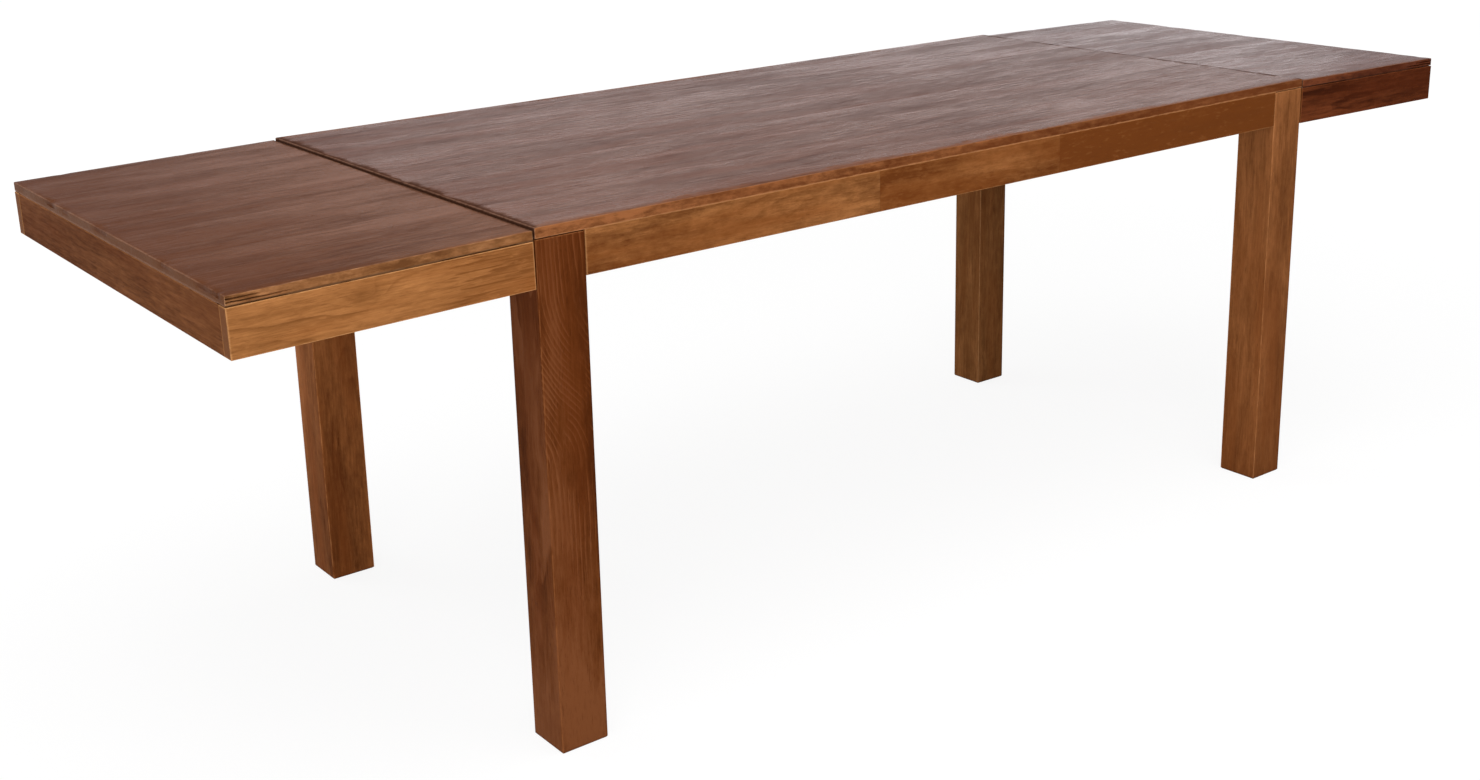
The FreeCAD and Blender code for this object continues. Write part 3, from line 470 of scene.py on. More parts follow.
def timber_figure(tree, given, place):
    """The parts of the figure, and its level: 0 is late wood, 0.5 the body of the wood, 1 a pale streak."""
    along, _, _ = tree.split(place)
    half_length, _, _ = tree.split(given["Half"])
    tone, tone_shift, rise, joint = glued_pattern(tree, given, place)
    seed = given["Seed"]
    offset = tree.vector("MULTIPLY", tree.join(seed, seed, seed), SEED_SHIFT)
    shift = tree.vector("MULTIPLY", tone_shift, LENGTH_SHIFT)
    seeded = tree.vector("ADD", tree.vector("ADD", place, offset), shift)
    waver = tree.math("MULTIPLY", tree.swing(seeded, **NOISES["waver"]), WAVER_REACH)
    flowing = tree.vector("ADD", seeded, tree.join(0.0, waver, 0.0))
    rings, knot = ring_figure(tree, given, place, seeded)
    # Lighter towards one end: the tone of its glued lengths, its own tone, and painted light and shade.
    tone_and_light_fade = tree.math("MULTIPLY_ADD", tree.math("DIVIDE", along, half_length), given["Fade"], rise)

    parts = {"seeded": seeded, "flowing": flowing, "rings": rings, "joint": joint, "tone_and_light_fade": tone_and_light_fade}
    level = tree.math("MULTIPLY_ADD", rings, tree.math("MULTIPLY", given["Ring Contrast"], -1.0), 0.5)
    level = tree.math("ADD", tone_and_light_fade, level)
    for name, settings in LAYERS.items():
        parts[name] = tree.swing(seeded if name == "Blotches" else flowing, **settings)
        level = tree.math("MULTIPLY_ADD", parts[name], given[name], level)
    level = tree.math("MULTIPLY_ADD", tree.math("SUBTRACT", tone, 0.5), given["Tone Contrast"], level)
    level = tree.math("MULTIPLY_ADD", tree.math("POWER", knot, 2.0), KNOT_DARKNESS, level)
    lines = tree.span(tree.noise(flowing, **NOISES["lines"]), *SPANS["lines"])
    lines = tree.math("MULTIPLY", lines, tree.span(along, *SPANS["lined part"], smooth=True))
    parts["level"] = tree.math("MULTIPLY_ADD", lines, given["Lines"], level)
    pores = tree.span(tree.noise(flowing, **NOISES["pores"]), *SPANS["pores"], smooth=True)
    pore_patches = tree.span(tree.noise(seeded, **NOISES["pore patches"]), *SPANS["pore patches"])
    parts["pores"] = tree.math("MULTIPLY", pores, pore_patches)
    return parts


def edge_distance(tree, given, place):
    """How far a point of a board's skin is from its nearest edge, from its ends and from its sides."""
    inset = tree.vector("SUBTRACT", given["Half"], tree.vector("ABSOLUTE", place))
    x, y, z = tree.split(inset)
    low = tree.math("MINIMUM", x, y)
    high = tree.math("MAXIMUM", x, y)
    return tree.math("MAXIMUM", low, tree.math("MINIMUM", high, z)), x, y


def wear_and_painted_light_places(tree, given, place, seeded):
    """How far a place is in the band along an edge, in a rubbed edge with its painted highlight, darker near
    an end (painted shade where panels meet), in end grain, and in the painted shade along a leaf's lower
    edge.
    """
    along, _, _ = tree.split(place)
    # How far above its bottom a place is, for the painted shade along the lower edge of a leaf's boards.
    _, _, above_bottom = tree.split(tree.vector("ADD", given["Half"], place))
    edge, from_end, from_side = edge_distance(tree, given, place)
    ragged = tree.noise(seeded, **NOISES["ragged"])
    uneven = tree.noise(seeded, **NOISES["uneven"])
    band_end = tree.math("MULTIPLY", tree.span(uneven, *SPANS["band"]), given["Edge Band"])
    band_end = tree.math("MULTIPLY", band_end, tree.span(ragged, *SPANS["band's raggedness"]))
    band_start = tree.math("MULTIPLY", band_end, BAND_FADES_FROM)

    # A rubbed edge: real wear, and a painted highlight where the rounded edge would catch the light.
    reach = given["Rubbed Highlight Reach"]
    rubbed_highlight_end = tree.math("MULTIPLY", tree.span(ragged, *SPANS["highlight's reach"]), reach)
    rubbed_highlight = tree.span(edge, tree.math("MULTIPLY", reach, RUBBED_HIGHLIGHT_FADES_FROM), rubbed_highlight_end, 1, 0, smooth=True)
    rubbed_highlight = tree.math("MULTIPLY", rubbed_highlight, given["Rubbed Highlight"])
    end_rubbed_highlight = tree.span(edge, *SPANS["highlight beside an end"])
    end_rubbed_highlight = tree.math("MULTIPLY", end_rubbed_highlight, tree.span(from_end, *SPANS["depth of an end"]))
    rubbed_highlight = tree.math("MAXIMUM", rubbed_highlight, tree.math("MULTIPLY", end_rubbed_highlight, given["End Rubbed Highlight"]))

    # Darker near the ends: painted shade where the top and the leaves meet, and a darker foot on a leg.
    darkening_end = tree.math("MULTIPLY_ADD", band_end, DARKENING_BY_BAND, DARKENING_DEPTH)
    near_end = tree.span(from_end, DARKENING_FADES_FROM, darkening_end, 1, 0, smooth=True)
    darkened = tree.span(along, *SPANS["middle"], given["Start Darkening"], given["End Darkening"])
    return {
        "band": tree.span(from_side, band_start, band_end, 1, 0, smooth=True),
        "rubbed_highlight": tree.math("MULTIPLY", rubbed_highlight, tree.span(ragged, *SPANS["highlight's raggedness"])),
        "darkening": tree.math("MULTIPLY", near_end, darkened),
        "end grain": tree.math("MULTIPLY", tree.span(from_end, *SPANS["end grain"]), given["End Grain"]),
        "slit shade": tree.math("MULTIPLY", tree.span(above_bottom, *SPANS["lower edge"]), given["Slit Shade"]),
    }


def timber_colour(tree, given, figure, worn):
    """The colour of the wood, from its figure to the wear, the painted highlights and the painted shade on
    top.
    """
    flecks = tree.noise(figure["flowing"], **NOISES["flecks"])
    dark_flecks = tree.math("MULTIPLY", tree.span(flecks, *SPANS["dark flecks"]), given["Flecks"])
    pale_flecks = tree.math("MULTIPLY", tree.span(flecks, *SPANS["pale flecks"]), given["Flecks"])
    flush = tree.span(tree.noise(figure["flowing"], **NOISES["flush"]), *SPANS["flush"])
    flush = tree.math("MULTIPLY_ADD", figure["tone_and_light_fade"], FLUSH_BY_FADING, flush, clamp=True)

    body = tree.mix(worn["band"], given["Body"], given["Edge"])
    colour = tree.mix(tree.span(figure["level"], 0.0, 0.5), given["Dark"], body)
    colour = tree.mix(tree.span(figure["level"], 0.5, 1.0), colour, given["Light"])
    colour = tree.mix(tree.math("MULTIPLY", flush, FLUSH_COVER), colour, given["Flush"])
    colour = tree.mix(tree.math("MULTIPLY", pale_flecks, PALE_FLECK_COVER), colour, given["Light"])
    colour = tree.mix(tree.math("MULTIPLY", dark_flecks, DARK_FLECK_COVER), colour, given["Dark"])

    # The darkening colour: painted shade where panels meet and along the leaves' lower edges, and a leg's
    # darker foot.
    darkening = tree.mix(1.0, given["Dark"], DARKENING, "MULTIPLY")
    colour = tree.mix(worn["end grain"], colour, given["End"])
    colour = tree.mix(worn["darkening"], colour, darkening)
    # A rubbed edge with its painted highlight.
    colour = tree.mix(worn["rubbed_highlight"], colour, given["Worn Highlight"])
    # Painted shade along the lower edge of a leaf's boards.
    colour = tree.mix(worn["slit shade"], colour, darkening)
    colour = tree.mix(tree.math("MULTIPLY", figure["pores"], PORE_COVER), colour, given["Dark"])
    return tree.mix(figure["joint"], colour, given["Dark"])


def build_timber():
    """The shared node group: from a place in a board to its colour, roughness and height."""
    group = bpy.data.node_groups.new("timber", "ShaderNodeTree")
    for name, (kind, value) in TIMBER_INPUTS.items():
        group.interface.new_socket(name, in_out="INPUT", socket_type=kind).default_value = value
    for name, kind in TIMBER_OUTPUTS.items():
        group.interface.new_socket(name, in_out="OUTPUT", socket_type=kind)
    tree = Tree(group)
    entry = tree.node("NodeGroupInput")
    given = {name: entry.outputs[name] for name in TIMBER_INPUTS}
    figure = timber_figure(tree, given, given["Place"])
    worn = wear_and_painted_light_places(tree, given, given["Place"], figure["seeded"])

    roughness = tree.span(given["Gloss"], *SPANS["roughness"])
    roughness = tree.math("MULTIPLY_ADD", figure["level"], ROUGHNESS_BY_LEVEL, roughness)
    roughness = tree.math("MULTIPLY_ADD", worn["band"], ROUGHNESS_BY_EDGE, roughness)
    roughness = tree.math("MULTIPLY_ADD", worn["darkening"], ROUGHNESS_BY_DARKENING, roughness)
    roughness = tree.math("MULTIPLY_ADD", worn["rubbed_highlight"], ROUGHNESS_BY_RUBBED_HIGHLIGHT, roughness, clamp=True)
    height = 0.5
    for name, rise in HEIGHTS.items():
        height = tree.math("MULTIPLY_ADD", figure[name], rise, height)

    out = tree.node("NodeGroupOutput")
    tree.feed(out.inputs["Color"], timber_colour(tree, given, figure, worn))
    tree.feed(out.inputs["Roughness"], roughness)
    tree.feed(out.inputs["Height"], height)
    return group


# ---------------------------------------------------------------- palettes and finishes

# The pale colour of a rubbed edge, as shares of the body: wear, with a painted highlight.
WORN_HIGHLIGHT_SHARES = (2.3, 2.9, 3.8)


def shades(red, green, blue, edge=None, end=None, dark=(0.40, 0.34, 0.30), light=(1.65, 1.75, 1.9),
           flush=(0.95, 0.78, 0.62)):
    """The colours of one kind of timber. The body, the band along its edges and its end grain are screen
    values, and late wood, pale streaks, flush and the painted highlight of worn edges are shares of the body."""
    body = paint(red, green, blue)

    def tone(shares):
        return tuple(min(1.0, level * share) for level, share in zip(body, shares)) + (1.0,)

    return {"Dark": tone(dark), "Body": body, "Light": tone(light), "Flush": tone(flush),
            "Edge": paint(*edge) if edge else body, "End": paint(*end) if end else tone(dark),
            "Worn Highlight": tone(WORN_HIGHLIGHT_SHARES)}


EVEN = {"edge": (116, 67, 33), "dark": (0.64, 0.52, 0.44), "light": (1.5, 1.62, 1.9)}
UMBER = shades(94, 61, 42, flush=(1.22, 0.9, 0.62), **EVEN)
DARK_UMBER = shades(96, 61, 40, end=(103, 63, 36), flush=(1.1, 0.92, 0.74), **EVEN)
HONEY = shades(147, 95, 52, end=(108, 63, 31), dark=(0.6, 0.54, 0.48))
LEAF_SIDE = shades(134, 90, 55, dark=(0.5, 0.45, 0.42))
DARK_HONEY = shades(102, 58, 27)
RUSSET = shades(130, 82, 44, dark=(0.45, 0.34, 0.26), flush=(0.86, 0.62, 0.36))
CHESTNUT = shades(98, 52, 23, light=(1.5, 1.75, 2.4), flush=(1.0, 0.84, 0.7))
SIDE_RUSSET = shades(118, 70, 38, dark=(0.5, 0.36, 0.24))
AMBER = shades(121, 73, 39)
TAN = shades(131, 78, 41)
WALNUT = shades(114, 72, 39)
COCOA = shades(89, 42, 18, end=(104, 60, 29))
RAW = shades(140, 102, 70)

# In the figures below, a fade is partly the wood's own tone and partly painted light and shade along the
# piece.
BOARD_FIGURE = {
    "Strip Width": 0.1, "Tone Contrast": 0.1, "Joint": 0.15, "Ring Contrast": 0.12, "Bands": 0.35,
    "Streaks": 1.8, "Blotches": 1.8, "Mottle": 0.6, "Flecks": 0.35, "Fibres": 1.4, "Rubbed Highlight Reach": 0.002,
    "Gloss": 0.88, "Rubbed Highlight": 0.55,
}
BOARD_SIDE_FIGURE = {
    "Strip Width": 0.1, "Ring Contrast": 0.3, "Bands": 2.2, "Streaks": 0.8, "Blotches": 1.6, "Mottle": 2.6,
    "Gloss": 0.5, "Rubbed Highlight": 0.9, "Fade": -0.25,
}
# A leg's darkened start makes it darker at the foot.
LEG_FIGURE = {
    "Ring Contrast": 0.3, "Bands": 0.6, "Streaks": 0.6, "Blotches": 1.6, "Mottle": 0.7, "Flecks": 0.2,
    "Fibres": 0.8, "Start Darkening": 0.3, "Gloss": 0.6, "Rubbed Highlight": 0.8,
}
LONG_APRON_FIGURE = {
    "Seams": (-0.213, 0.17, PAST_ALL_ENDS), "Steps": (-0.24, -0.2, 0.0), "Joint": 0.25, "Fade": 0.06,
    "Ring Contrast": 0.5, "Bands": 1.2, "Streaks": 0.5, "Blotches": 2.3, "Mottle": 1.3, "Flecks": 0.3,
    "Seed": 67.0, "Fibres": 0.8, "Gloss": 0.55, "Rubbed Highlight": 0.5, "End Rubbed Highlight": 0.5,
}
END_APRON_FIGURE = {"Bands": 0.4, "Streaks": 0.9, "Blotches": 1.3, "Gloss": 0.5}
END_SKIRT_FIGURE = {
    "Bands": 0.8, "Streaks": 1.0, "Blotches": 1.4, "Mottle": 0.6, "Fibres": 1.2, "Gloss": 0.5, "Fade": -0.06,
    "Rubbed Highlight": 0.6,
}
LEFT_SKIRT_FIGURE = {
    "Ring Width": 0.0055, "Ring Contrast": 0.65, "Bands": 0.3, "Streaks": 0.6, "Blotches": 1.3,
    "Mottle": 0.35, "Lines": 0.75, "Knot": (-0.033, -0.01, 0.011), "Knot Size": 0.015, "Fibres": 0.9,
    "Gloss": 0.5, "Rubbed Highlight": 0.6, "Fade": -0.18, "End Grain": 0.92, "End Rubbed Highlight": 0.35,
}
RIGHT_SKIRT_FIGURE = {
    "Ring Width": 0.011, "Ring Contrast": 1.0, "Bands": 1.4, "Streaks": 1.6, "Blotches": 1.6, "Gloss": 0.55,
    "Rubbed Highlight": 0.5, "Fade": -0.25, "End Grain": 0.9,
}
RAW_FIGURE = {"Gloss": 0.2, "Rubbed Highlight": 0.2}

# The boards of each panel: their palettes, their index of refraction, and what sets them apart.
PANEL_PALETTES = {"left": DARK_UMBER, "top": UMBER, "right": UMBER}
PANEL_SIDE_PALETTES = {"left": LEAF_SIDE, "top": SIDE_RUSSET, "right": COCOA}
PANEL_IORS = {"left": 1.06, "top": 1.108, "right": 1.14}
PANEL_RELIEF = 0.0006
# The darkened ends of the panels are painted shade where the top and the leaves meet.
PANEL_FIGURES = {
    "left": {"Edge Band": 0.004, "Fade": 0.3, "Streaks": 1.3, "End Grain": 0.9, "End Darkening": 0.85},
    "top": {"Edge Band": 0.016, "Fade": 0.08, "Seed": 18.0, "Start Darkening": 0.85, "End Darkening": 0.85},
    "right": {"Edge Band": 0.004, "Start Darkening": 0.85},
}
# Painted shade along the lower edge of the leaves' boards, over the slit to their skirts.
LEAF_SLIT_SHADE = 0.85

# The legs, each with its palette and what sets it apart. The front left one has a flame on its front.
LEG_IOR = 1.05
LEG_PALETTES = {"front_left_leg": CHESTNUT, "front_right_leg": AMBER, "back_left_leg": TAN,
                "back_right_leg": WALNUT}
# Their fades paint light and shade: the front left leg darker at the top and lighter towards the foot, the
# front right one the other way round.
LEG_FIGURES = {
    "front_left_leg": {"Ring Contrast": -3.2, "Ring Width": 0.007, "Sweep": (-0.11, 0.05, 0.29),
                       "Pith": (0, 0, -0.4), "Bands": 0.5, "Blotches": 2.4, "Fade": -0.38, "Seed": 23.0},
    "front_right_leg": {"Fade": 0.28},
}


def finish(palette, figure, grain="X", relief=0.0004, ior=1.08):
    """The look of a piece: its colours, figure, axis of the grain, relief and index of refraction."""
    return {"palette": palette, "figure": figure, "grain": grain, "relief": relief, "ior": ior}


def finish_of(name):
    """What a wooden node is made of, by what it is called."""
    if "_plank_" in name:
        panel = name.split("_")[0]
        figure = {**BOARD_FIGURE, **PANEL_FIGURES[panel]}
        return finish(PANEL_PALETTES[panel], figure, relief=PANEL_RELIEF, ior=PANEL_IORS[panel])
    if name.endswith("_leg"):
        return finish(LEG_PALETTES[name], {**LEG_FIGURE, **LEG_FIGURES.get(name, {})}, "Z", ior=LEG_IOR)
    if name.endswith("end_apron"):
        return finish(RUSSET, END_APRON_FIGURE, "Y")
    if name.endswith("apron"):
        return finish(RUSSET, LONG_APRON_FIGURE)
    if name.endswith("end_skirt"):
        return finish(DARK_HONEY, END_SKIRT_FIGURE, "Y")
    if name.endswith("skirt"):
        on_left = name.startswith("left")
        return finish(HONEY, LEFT_SKIRT_FIGURE) if on_left else finish(COCOA, RIGHT_SKIRT_FIGURE)
    return finish(RAW, RAW_FIGURE, "X" if name.endswith("runner") else "Y")


def side_finish_of(name):
    """The long sides of a board of a panel, which are warmer than its face, and in the leaves darker below
    with painted shade over the slit to the skirts.
    """
    panel = name.split("_")[0]
    figure = {**BOARD_SIDE_FIGURE, "Slit Shade": 0.0 if panel == "top" else LEAF_SLIT_SHADE}
    return {**finish_of(name), "palette": PANEL_SIDE_PALETTES[panel], "figure": figure}


# ---------------------------------------------------------------- materials

# The turns that lay the grain along x, and what a piece's dice choose: its seed, and how far to the
# side of its middle and how far below or above it the heart of the tree is.
GRAIN_TURNS = {"X": Matrix.Identity(3), "Y": Matrix.Rotation(-math.pi / 2, 3, "Z"),
               "Z": Matrix.Rotation(math.pi / 2, 3, "Y")}
SEED_RANGE = (0, 40)
PITH_SWING = (-0.03, 0.03)
PITH_DEPTHS = (0.09, 0.2)
BUMP_STRENGTH = 0.6

STEEL_COLOURS = (paint(150, 152, 156), paint(196, 196, 192))
STEEL_CLOUDS = (240, 240, 240)
STEEL_ROUGHNESS = (0.3, 0.7, 0.28, 0.5)


def panel_of(name):
    """The boards that lie in one panel with a board, itself among them."""
    kin, is_plank, _ = name.rpartition("_plank_")
    return [f"{kin}_plank_{i}" for i in range(1, 5)] if is_plank else [name]


def board_frame(names, grain):
    """The rotation into the frame of a board or of one panel's boards, and its middle and half size."""
    side, is_leaf, _ = names[0].partition("_leaf_")
    tilt = {"left": -LEAF_DROOP, "right": LEAF_DROOP}[side] if is_leaf else 0.0
    turn = GRAIN_TURNS[grain] @ Matrix.Rotation(-tilt, 3, "Y")
    points = [turn @ vertex.co for name in names for vertex in frame["nodes"][name].data.vertices]
    low = Vector(min(point[i] for point in points) for i in range(3))
    high = Vector(max(point[i] for point in points) for i in range(3))
    return turn, (low + high) / 2, (high - low) / 2


def make_timber_material(timber, label, name, seed, look):
    """A piece's own material, laid out in the frame of its board or panel. What its figure names goes
    before what its dice choose."""
    dice = random.Random(seed)
    turn, middle, half = board_frame(panel_of(name), look["grain"])
    material = bpy.data.materials.new(label)
    material.use_nodes = True
    tree = Tree(material.node_tree)
    shader = material.node_tree.nodes["Principled BSDF"]
    where = tree.node("ShaderNodeTexCoord")
    mapping = tree.node("ShaderNodeMapping", vector_type="POINT")
    tree.feed(mapping.inputs["Vector"], where.outputs["Object"])
    mapping.inputs["Rotation"].default_value = turn.to_euler()
    mapping.inputs["Location"].default_value = -middle
    wood = tree.node("ShaderNodeGroup")
    wood.node_tree = timber
    tree.feed(wood.inputs["Place"], mapping.outputs[0])
    wood.inputs["Half"].default_value = half
    wood.inputs["Seed"].default_value = dice.uniform(*SEED_RANGE)
    thin_axis = min((1, 2), key=lambda i: half[i])
    pith = [0.0, dice.uniform(*PITH_SWING), dice.uniform(*PITH_SWING)]
    pith[thin_axis] = dice.choice((-1, 1)) * dice.uniform(*PITH_DEPTHS)
    wood.inputs["Pith"].default_value = pith
    for word, value in {**look["palette"], **look["figure"]}.items():
        wood.inputs[word].default_value = value
    tree.feed(shader.inputs["Base Color"], wood.outputs["Color"])
    tree.feed(shader.inputs["Roughness"], wood.outputs["Roughness"])
    shader.inputs["IOR"].default_value = look["ior"]
    bump = tree.node("ShaderNodeBump")
    bump.inputs["Strength"].default_value = BUMP_STRENGTH
    bump.inputs["Distance"].default_value = look["relief"]
    tree.feed(bump.inputs["Height"], wood.outputs["Height"])
    tree.feed(shader.inputs["Normal"], bump.outputs[0])
    return material


def make_steel():
    """Bright zinc plated steel, a little uneven, for bolts, washers, nuts and screws."""
    material = bpy.data.materials.new("steel")
    material.use_nodes = True
    tree = Tree(material.node_tree)
    shader = material.node_tree.nodes["Principled BSDF"]
    where = tree.node("ShaderNodeTexCoord")
    cloud = tree.noise(where.outputs["Object"], STEEL_CLOUDS, detail=3)
    tree.feed(shader.inputs["Base Color"], tree.mix(cloud, *STEEL_COLOURS))
    tree.feed(shader.inputs["Roughness"], tree.span(cloud, *STEEL_ROUGHNESS))
    shader.inputs["Metallic"].default_value = 1.0
    return material


# ---------------------------------------------------------------- worn boards

# The rounding of a panel's outer edges, above and below.
ROUNDING = 0.0014
LOWER_ROUNDING = 0.0004
ROUNDING_SEGMENTS = 4

# The cuts that let a board bend: how far apart they are, and how far from its panel's ends and sides.
LONG_CUTS = 0.012
WIDE_CUTS = 0.03
EDGE_CUTS = (0.003, 0.005, 0.008, 0.012, 0.016, 0.022)

# How near a point has to be to count as on an edge or on the skin, how far a face has to turn to y to
# be a side, and the angle from which an edge is sharp.
ON_EDGE = 0.00001
ON_SKIN = 0.0001
SIDEWAYS = 0.8
SHARP_ANGLE = math.radians(40)

# The wear of a board: an edge that rolls off, wider along the sides than at the ends by END_ROLL_RATE,
# a dished face, and sides and ends that wave within a strip.
ROLL_WIDTH = 0.014
END_ROLL_RATE = 2
ROLL_DEPTH = 0.0006
DISH_DEPTH = 0.0003
WAVE_DEPTH = 0.0006
SIDE_STRIP = 0.008
END_STRIP = 0.009

# The ripples of that wear: the cells of each per metre along, across and through, its start, and the
# middle of its values.
ROLL_RIPPLE = ((7, 7, 0), 3.1, 0.75)
DISH_RIPPLE = ((3.5, 11, 0), 7.7, 0.5)
SIDE_RIPPLE = ((16, 1, 60), 0, 0.5)
END_RIPPLE = ((1, 22, 60), 0, 0.5)

# Chips out of a leaf's upper edges: place, half length and depth. Along its outer end all three are in
# metres, from the middle. Along its sides the first two are shares of its length, from the outer end.
# How much of the end's depths a leaf has goes by where its outer end is: -1 is left and 1 is right.
END_CHIPS = ((0.228, 0.020, 0.0026), (0.165, 0.012, 0.0015), (0.02, 0.03, 0.0018), (-0.21, 0.016, 0.0012),
             (-0.335, 0.022, 0.0022), (-0.375, 0.012, 0.0028))
SIDE_CHIPS = ((0.62, 0.012, 0.0012), (0.18, 0.02, 0.0009), (0.84, 0.01, 0.0014))
END_CHIP_SHARES = {-1: 1.0, 1: 0.3}
CHIP_RAGGEDNESS = 260
CHIP_START = 50

# Cracks in a leaf's long sides, from the outer end inwards: length, height from the middle and depth.
# Points within so many half widths of a crack wander with it, and those nearest it are its bottom.
SIDE_CRACKS = ((0.082, -0.0028, 0.0060), (0.05, 0.0022, 0.0045))
CRACK_HALF_WIDTH = 0.0011
CRACK_REACH = 2.5
CRACK_BOTTOM = 0.5
CRACK_WANDER = 0.0008
CRACK_WANDER_RATE = 70
CRACK_START = 900

# A leaf's panel nearly meets its skirts below: all along its outer end, and along its sides except where
# the slit is open, which is from and to so many metres from the outer end.
SLIT_CLOSED = 0.0014
SLIT_REACH = 0.0264
SLIT_BLEND = 0.004
SLIT_OPEN = ((0.0, 0.078), (0.145, 0.162), (0.275, 0.385))


def ripple(point, kind):
    """Smooth noise over a board, up to a half above or below the middle of its values."""
    (along, across, deep), start, middle = kind
    return middle + 0.5 * noise.noise(Vector((point.x * along, point.y * across, point.z * deep + start)))


def chip_depth(chips, place):
    """How deep the chips along an edge are at one place."""
    depth = 0.0
    for centre, reach, deep in chips:
        gap = abs(place - centre) / reach
        if gap < 1:
            ragged = 0.75 + 0.5 * noise.noise(Vector((place * CHIP_RAGGEDNESS, centre * CHIP_START, 0)))
            depth = max(depth, deep * ragged * (1 - gap * gap))
    return depth


def share_within(distance, reach, blend):
    """1 where a distance is well below a reach, and 0 beyond it."""
    return max(0.0, min(1.0, (reach - distance) / blend))


def wear_leaf(moved, point, half, outer_end):
    """Move a point of a leaf on as use does: chips, cracks, and a lower edge that nearly meets the skirts."""
    side = math.copysign(1, point.y)
    from_side = half.y - abs(point.y)
    inwards = half.x - outer_end * point.x
    end_share = max(0.0, 1 - inwards / END_STRIP)
    if end_share:
        chip = chip_depth(END_CHIPS, point.y) * END_CHIP_SHARES[outer_end] if point.z > 0 else 0.0
        moved.x -= outer_end * (WAVE_DEPTH * ripple(point, END_RIPPLE) + chip) * end_share
        moved.z -= chip * end_share
    if point.z > 0:
        side_share = max(0.0, 1 - from_side / SIDE_STRIP)
        moved.z -= chip_depth(SIDE_CHIPS, inwards / (2 * half.x)) * side_share
    for length, height, depth in SIDE_CRACKS:
        gap = abs(point.z - height) / CRACK_HALF_WIDTH
        if gap < CRACK_REACH and inwards < length and from_side < ON_SKIN:
            wander = noise.noise(Vector((point.x * CRACK_WANDER_RATE, height * CRACK_START, 0)))
            moved.z += CRACK_WANDER * wander
            if gap < CRACK_BOTTOM:
                moved.y -= side * depth * math.sqrt(1 - inwards / length)
    if abs(point.z + half.z) < ON_SKIN:
        at_end = share_within(inwards, SLIT_REACH, SLIT_BLEND)
        at_side = share_within(from_side, SLIT_REACH, SLIT_BLEND)
        shut = 0.0 if any(low < inwards < high for low, high in SLIT_OPEN) else 1.0
        moved.z -= SLIT_CLOSED * max(at_end * (1 - at_side), at_side * shut)


def worn_point(point, half, outer_end):
    """A point of a panel, moved inwards as use does. The outer end is -1 or 1 in x, or 0 for the top."""
    from_side = half.y - abs(point.y)
    from_end = half.x - abs(point.x)
    moved = point.copy()
    if point.z > 0:
        roll = max(0.0, 1 - min(from_side, from_end * END_ROLL_RATE) / ROLL_WIDTH) ** 2
        moved.z -= ROLL_DEPTH * roll * ripple(point, ROLL_RIPPLE) + DISH_DEPTH * ripple(point, DISH_RIPPLE)
    side_share = max(0.0, 1 - from_side / SIDE_STRIP)
    moved.y -= math.copysign(1, point.y) * WAVE_DEPTH * ripple(point, SIDE_RIPPLE) * side_share
    if outer_end:
        wear_leaf(moved, point, half, outer_end)
    return moved


def round_panel_edges(shape, half):
    """Round the edges of a board that are outer edges of its panel, the lower ones less."""
    def is_outer(edge):
        centre = (edge.verts[0].co + edge.verts[1].co) / 2
        at_end = half.x - abs(centre.x) < ON_EDGE
        at_side = half.y - abs(centre.y) < ON_EDGE
        upright = abs(edge.verts[0].co.z - edge.verts[1].co.z) > ON_EDGE
        return at_end and at_side if upright else at_end or at_side

    def is_lower(edge):
        return all(vertex.co.z < 0 for vertex in edge.verts)

    for radius, lower in ((ROUNDING, False), (LOWER_ROUNDING, True)):
        edges = [edge for edge in shape.edges if is_outer(edge) and is_lower(edge) == lower]
        bmesh.ops.bevel(shape, geom=edges, offset=radius, offset_type="OFFSET", segments=ROUNDING_SEGMENTS,
                        profile=0.5, affect="EDGES")


def cut_across(shape, axis, places):
    """Cut a mesh by planes square to one axis."""
    normal = Vector((0, 0, 0))
    normal[axis] = 1
    for place in places:
        everything = shape.verts[:] + shape.edges[:] + shape.faces[:]
        bmesh.ops.bisect_plane(shape, geom=everything, plane_co=normal * place, plane_no=normal)


def even_cuts(half, spacing):
    """Evenly spaced places from one end of a panel to the other."""
    count = int(2 * half / spacing)
    return [-half + (i + 1) * 2 * half / (count + 1) for i in range(count)]


def edge_cuts(half):
    """Places close to both ends of a panel."""
    return [side * (half - gap) for gap in EDGE_CUTS for side in (-1, 1)]


def crack_cuts():
    """Heights beside and in the middle of each crack."""
    return [height + side * CRACK_HALF_WIDTH for _, height, _ in SIDE_CRACKS for side in (-1, 0, 1)]


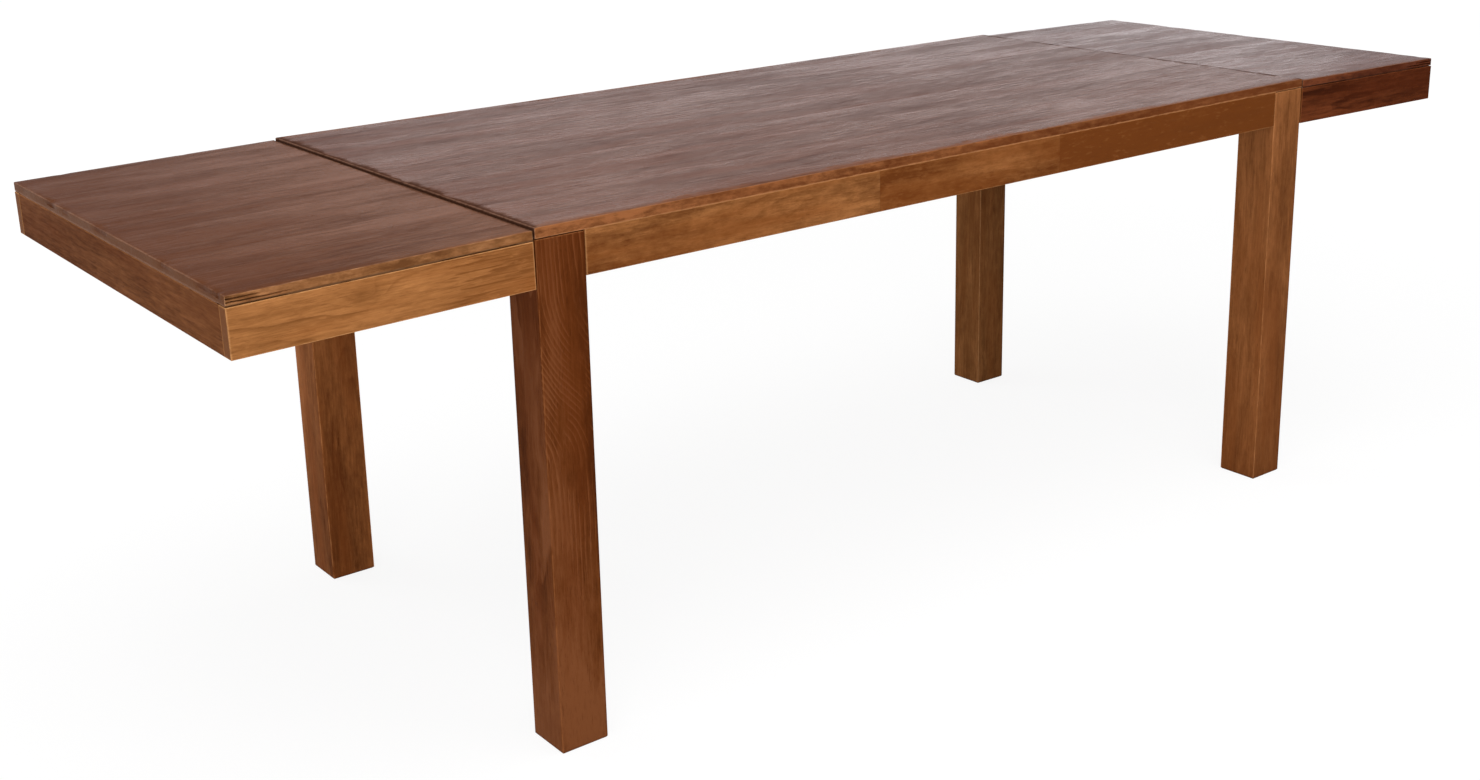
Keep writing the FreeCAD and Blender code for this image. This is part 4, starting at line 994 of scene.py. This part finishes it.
def make_board(name, body, face_material, side_material):
    """A board of a panel with worn edges, in place of the plain board of the frame."""
    turn, middle, half = board_frame(panel_of(name), "X")
    _, own_middle, own_half = board_frame([name], "X")
    outer_end = {"left": -1, "right": 1}.get(name.split("_leaf_")[0], 0)
    shape = bmesh.new()
    bmesh.ops.create_cube(shape, size=2)
    for vertex in shape.verts:
        vertex.co = own_middle - middle + Vector(a * b for a, b in zip(vertex.co, own_half))
    round_panel_edges(shape, half)
    cut_across(shape, 0, even_cuts(half.x, LONG_CUTS))
    cut_across(shape, 0, edge_cuts(half.x))
    cut_across(shape, 1, edge_cuts(half.y))
    cut_across(shape, 1, even_cuts(half.y, LONG_CUTS if outer_end else WIDE_CUTS))
    if outer_end:
        cut_across(shape, 2, crack_cuts())
    shape.normal_update()
    for face in shape.faces:
        face.material_index = 1 if abs(face.normal.y) > SIDEWAYS else 0
    back = turn.transposed()
    for vertex in shape.verts:
        vertex.co = back @ (worn_point(vertex.co, half, outer_end) + middle)
    mesh = bpy.data.meshes.new(name.replace("plank", "board"))
    shape.to_mesh(mesh)
    shape.free()
    mesh.shade_smooth()
    mesh.set_sharp_from_angle(angle=SHARP_ANGLE)
    mesh.materials.append(face_material)
    mesh.materials.append(side_material)
    board = bpy.data.objects.new(mesh.name, mesh)
    bpy.context.scene.collection.objects.link(board)
    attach(board, body)
    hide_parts(name)


# ---------------------------------------------------------------- the table

STEEL_NODES = ("hanger_bolts", "washers", "nuts", "screws")


def dress_nodes():
    """Give every CAD node its material, and every plank a worn board that shows in its place."""
    timber = build_timber()
    steel = make_steel()
    body_of = {node: body for body, nodes in frame["record"]["behaviour"]["bodies"].items() for node in nodes}
    for seed, (name, node) in enumerate(sorted(frame["nodes"].items())):
        node.data.materials.clear()
        if name.endswith(STEEL_NODES):
            node.data.materials.append(steel)
            continue
        material = make_timber_material(timber, f"timber_{name}", name, seed, finish_of(name))
        node.data.materials.append(material)
        if "_plank_" in name:
            side = make_timber_material(timber, f"timber_{name}_side", name, seed, side_finish_of(name))
            make_board(name, body_of[name], material, side)


bpy.context.scene.view_settings.view_transform = "Standard"
make_camera()
make_world()
make_floor()
for light_name, light_settings in LIGHTS.items():
    add_softbox(light_name, *light_settings)
dress_nodes()
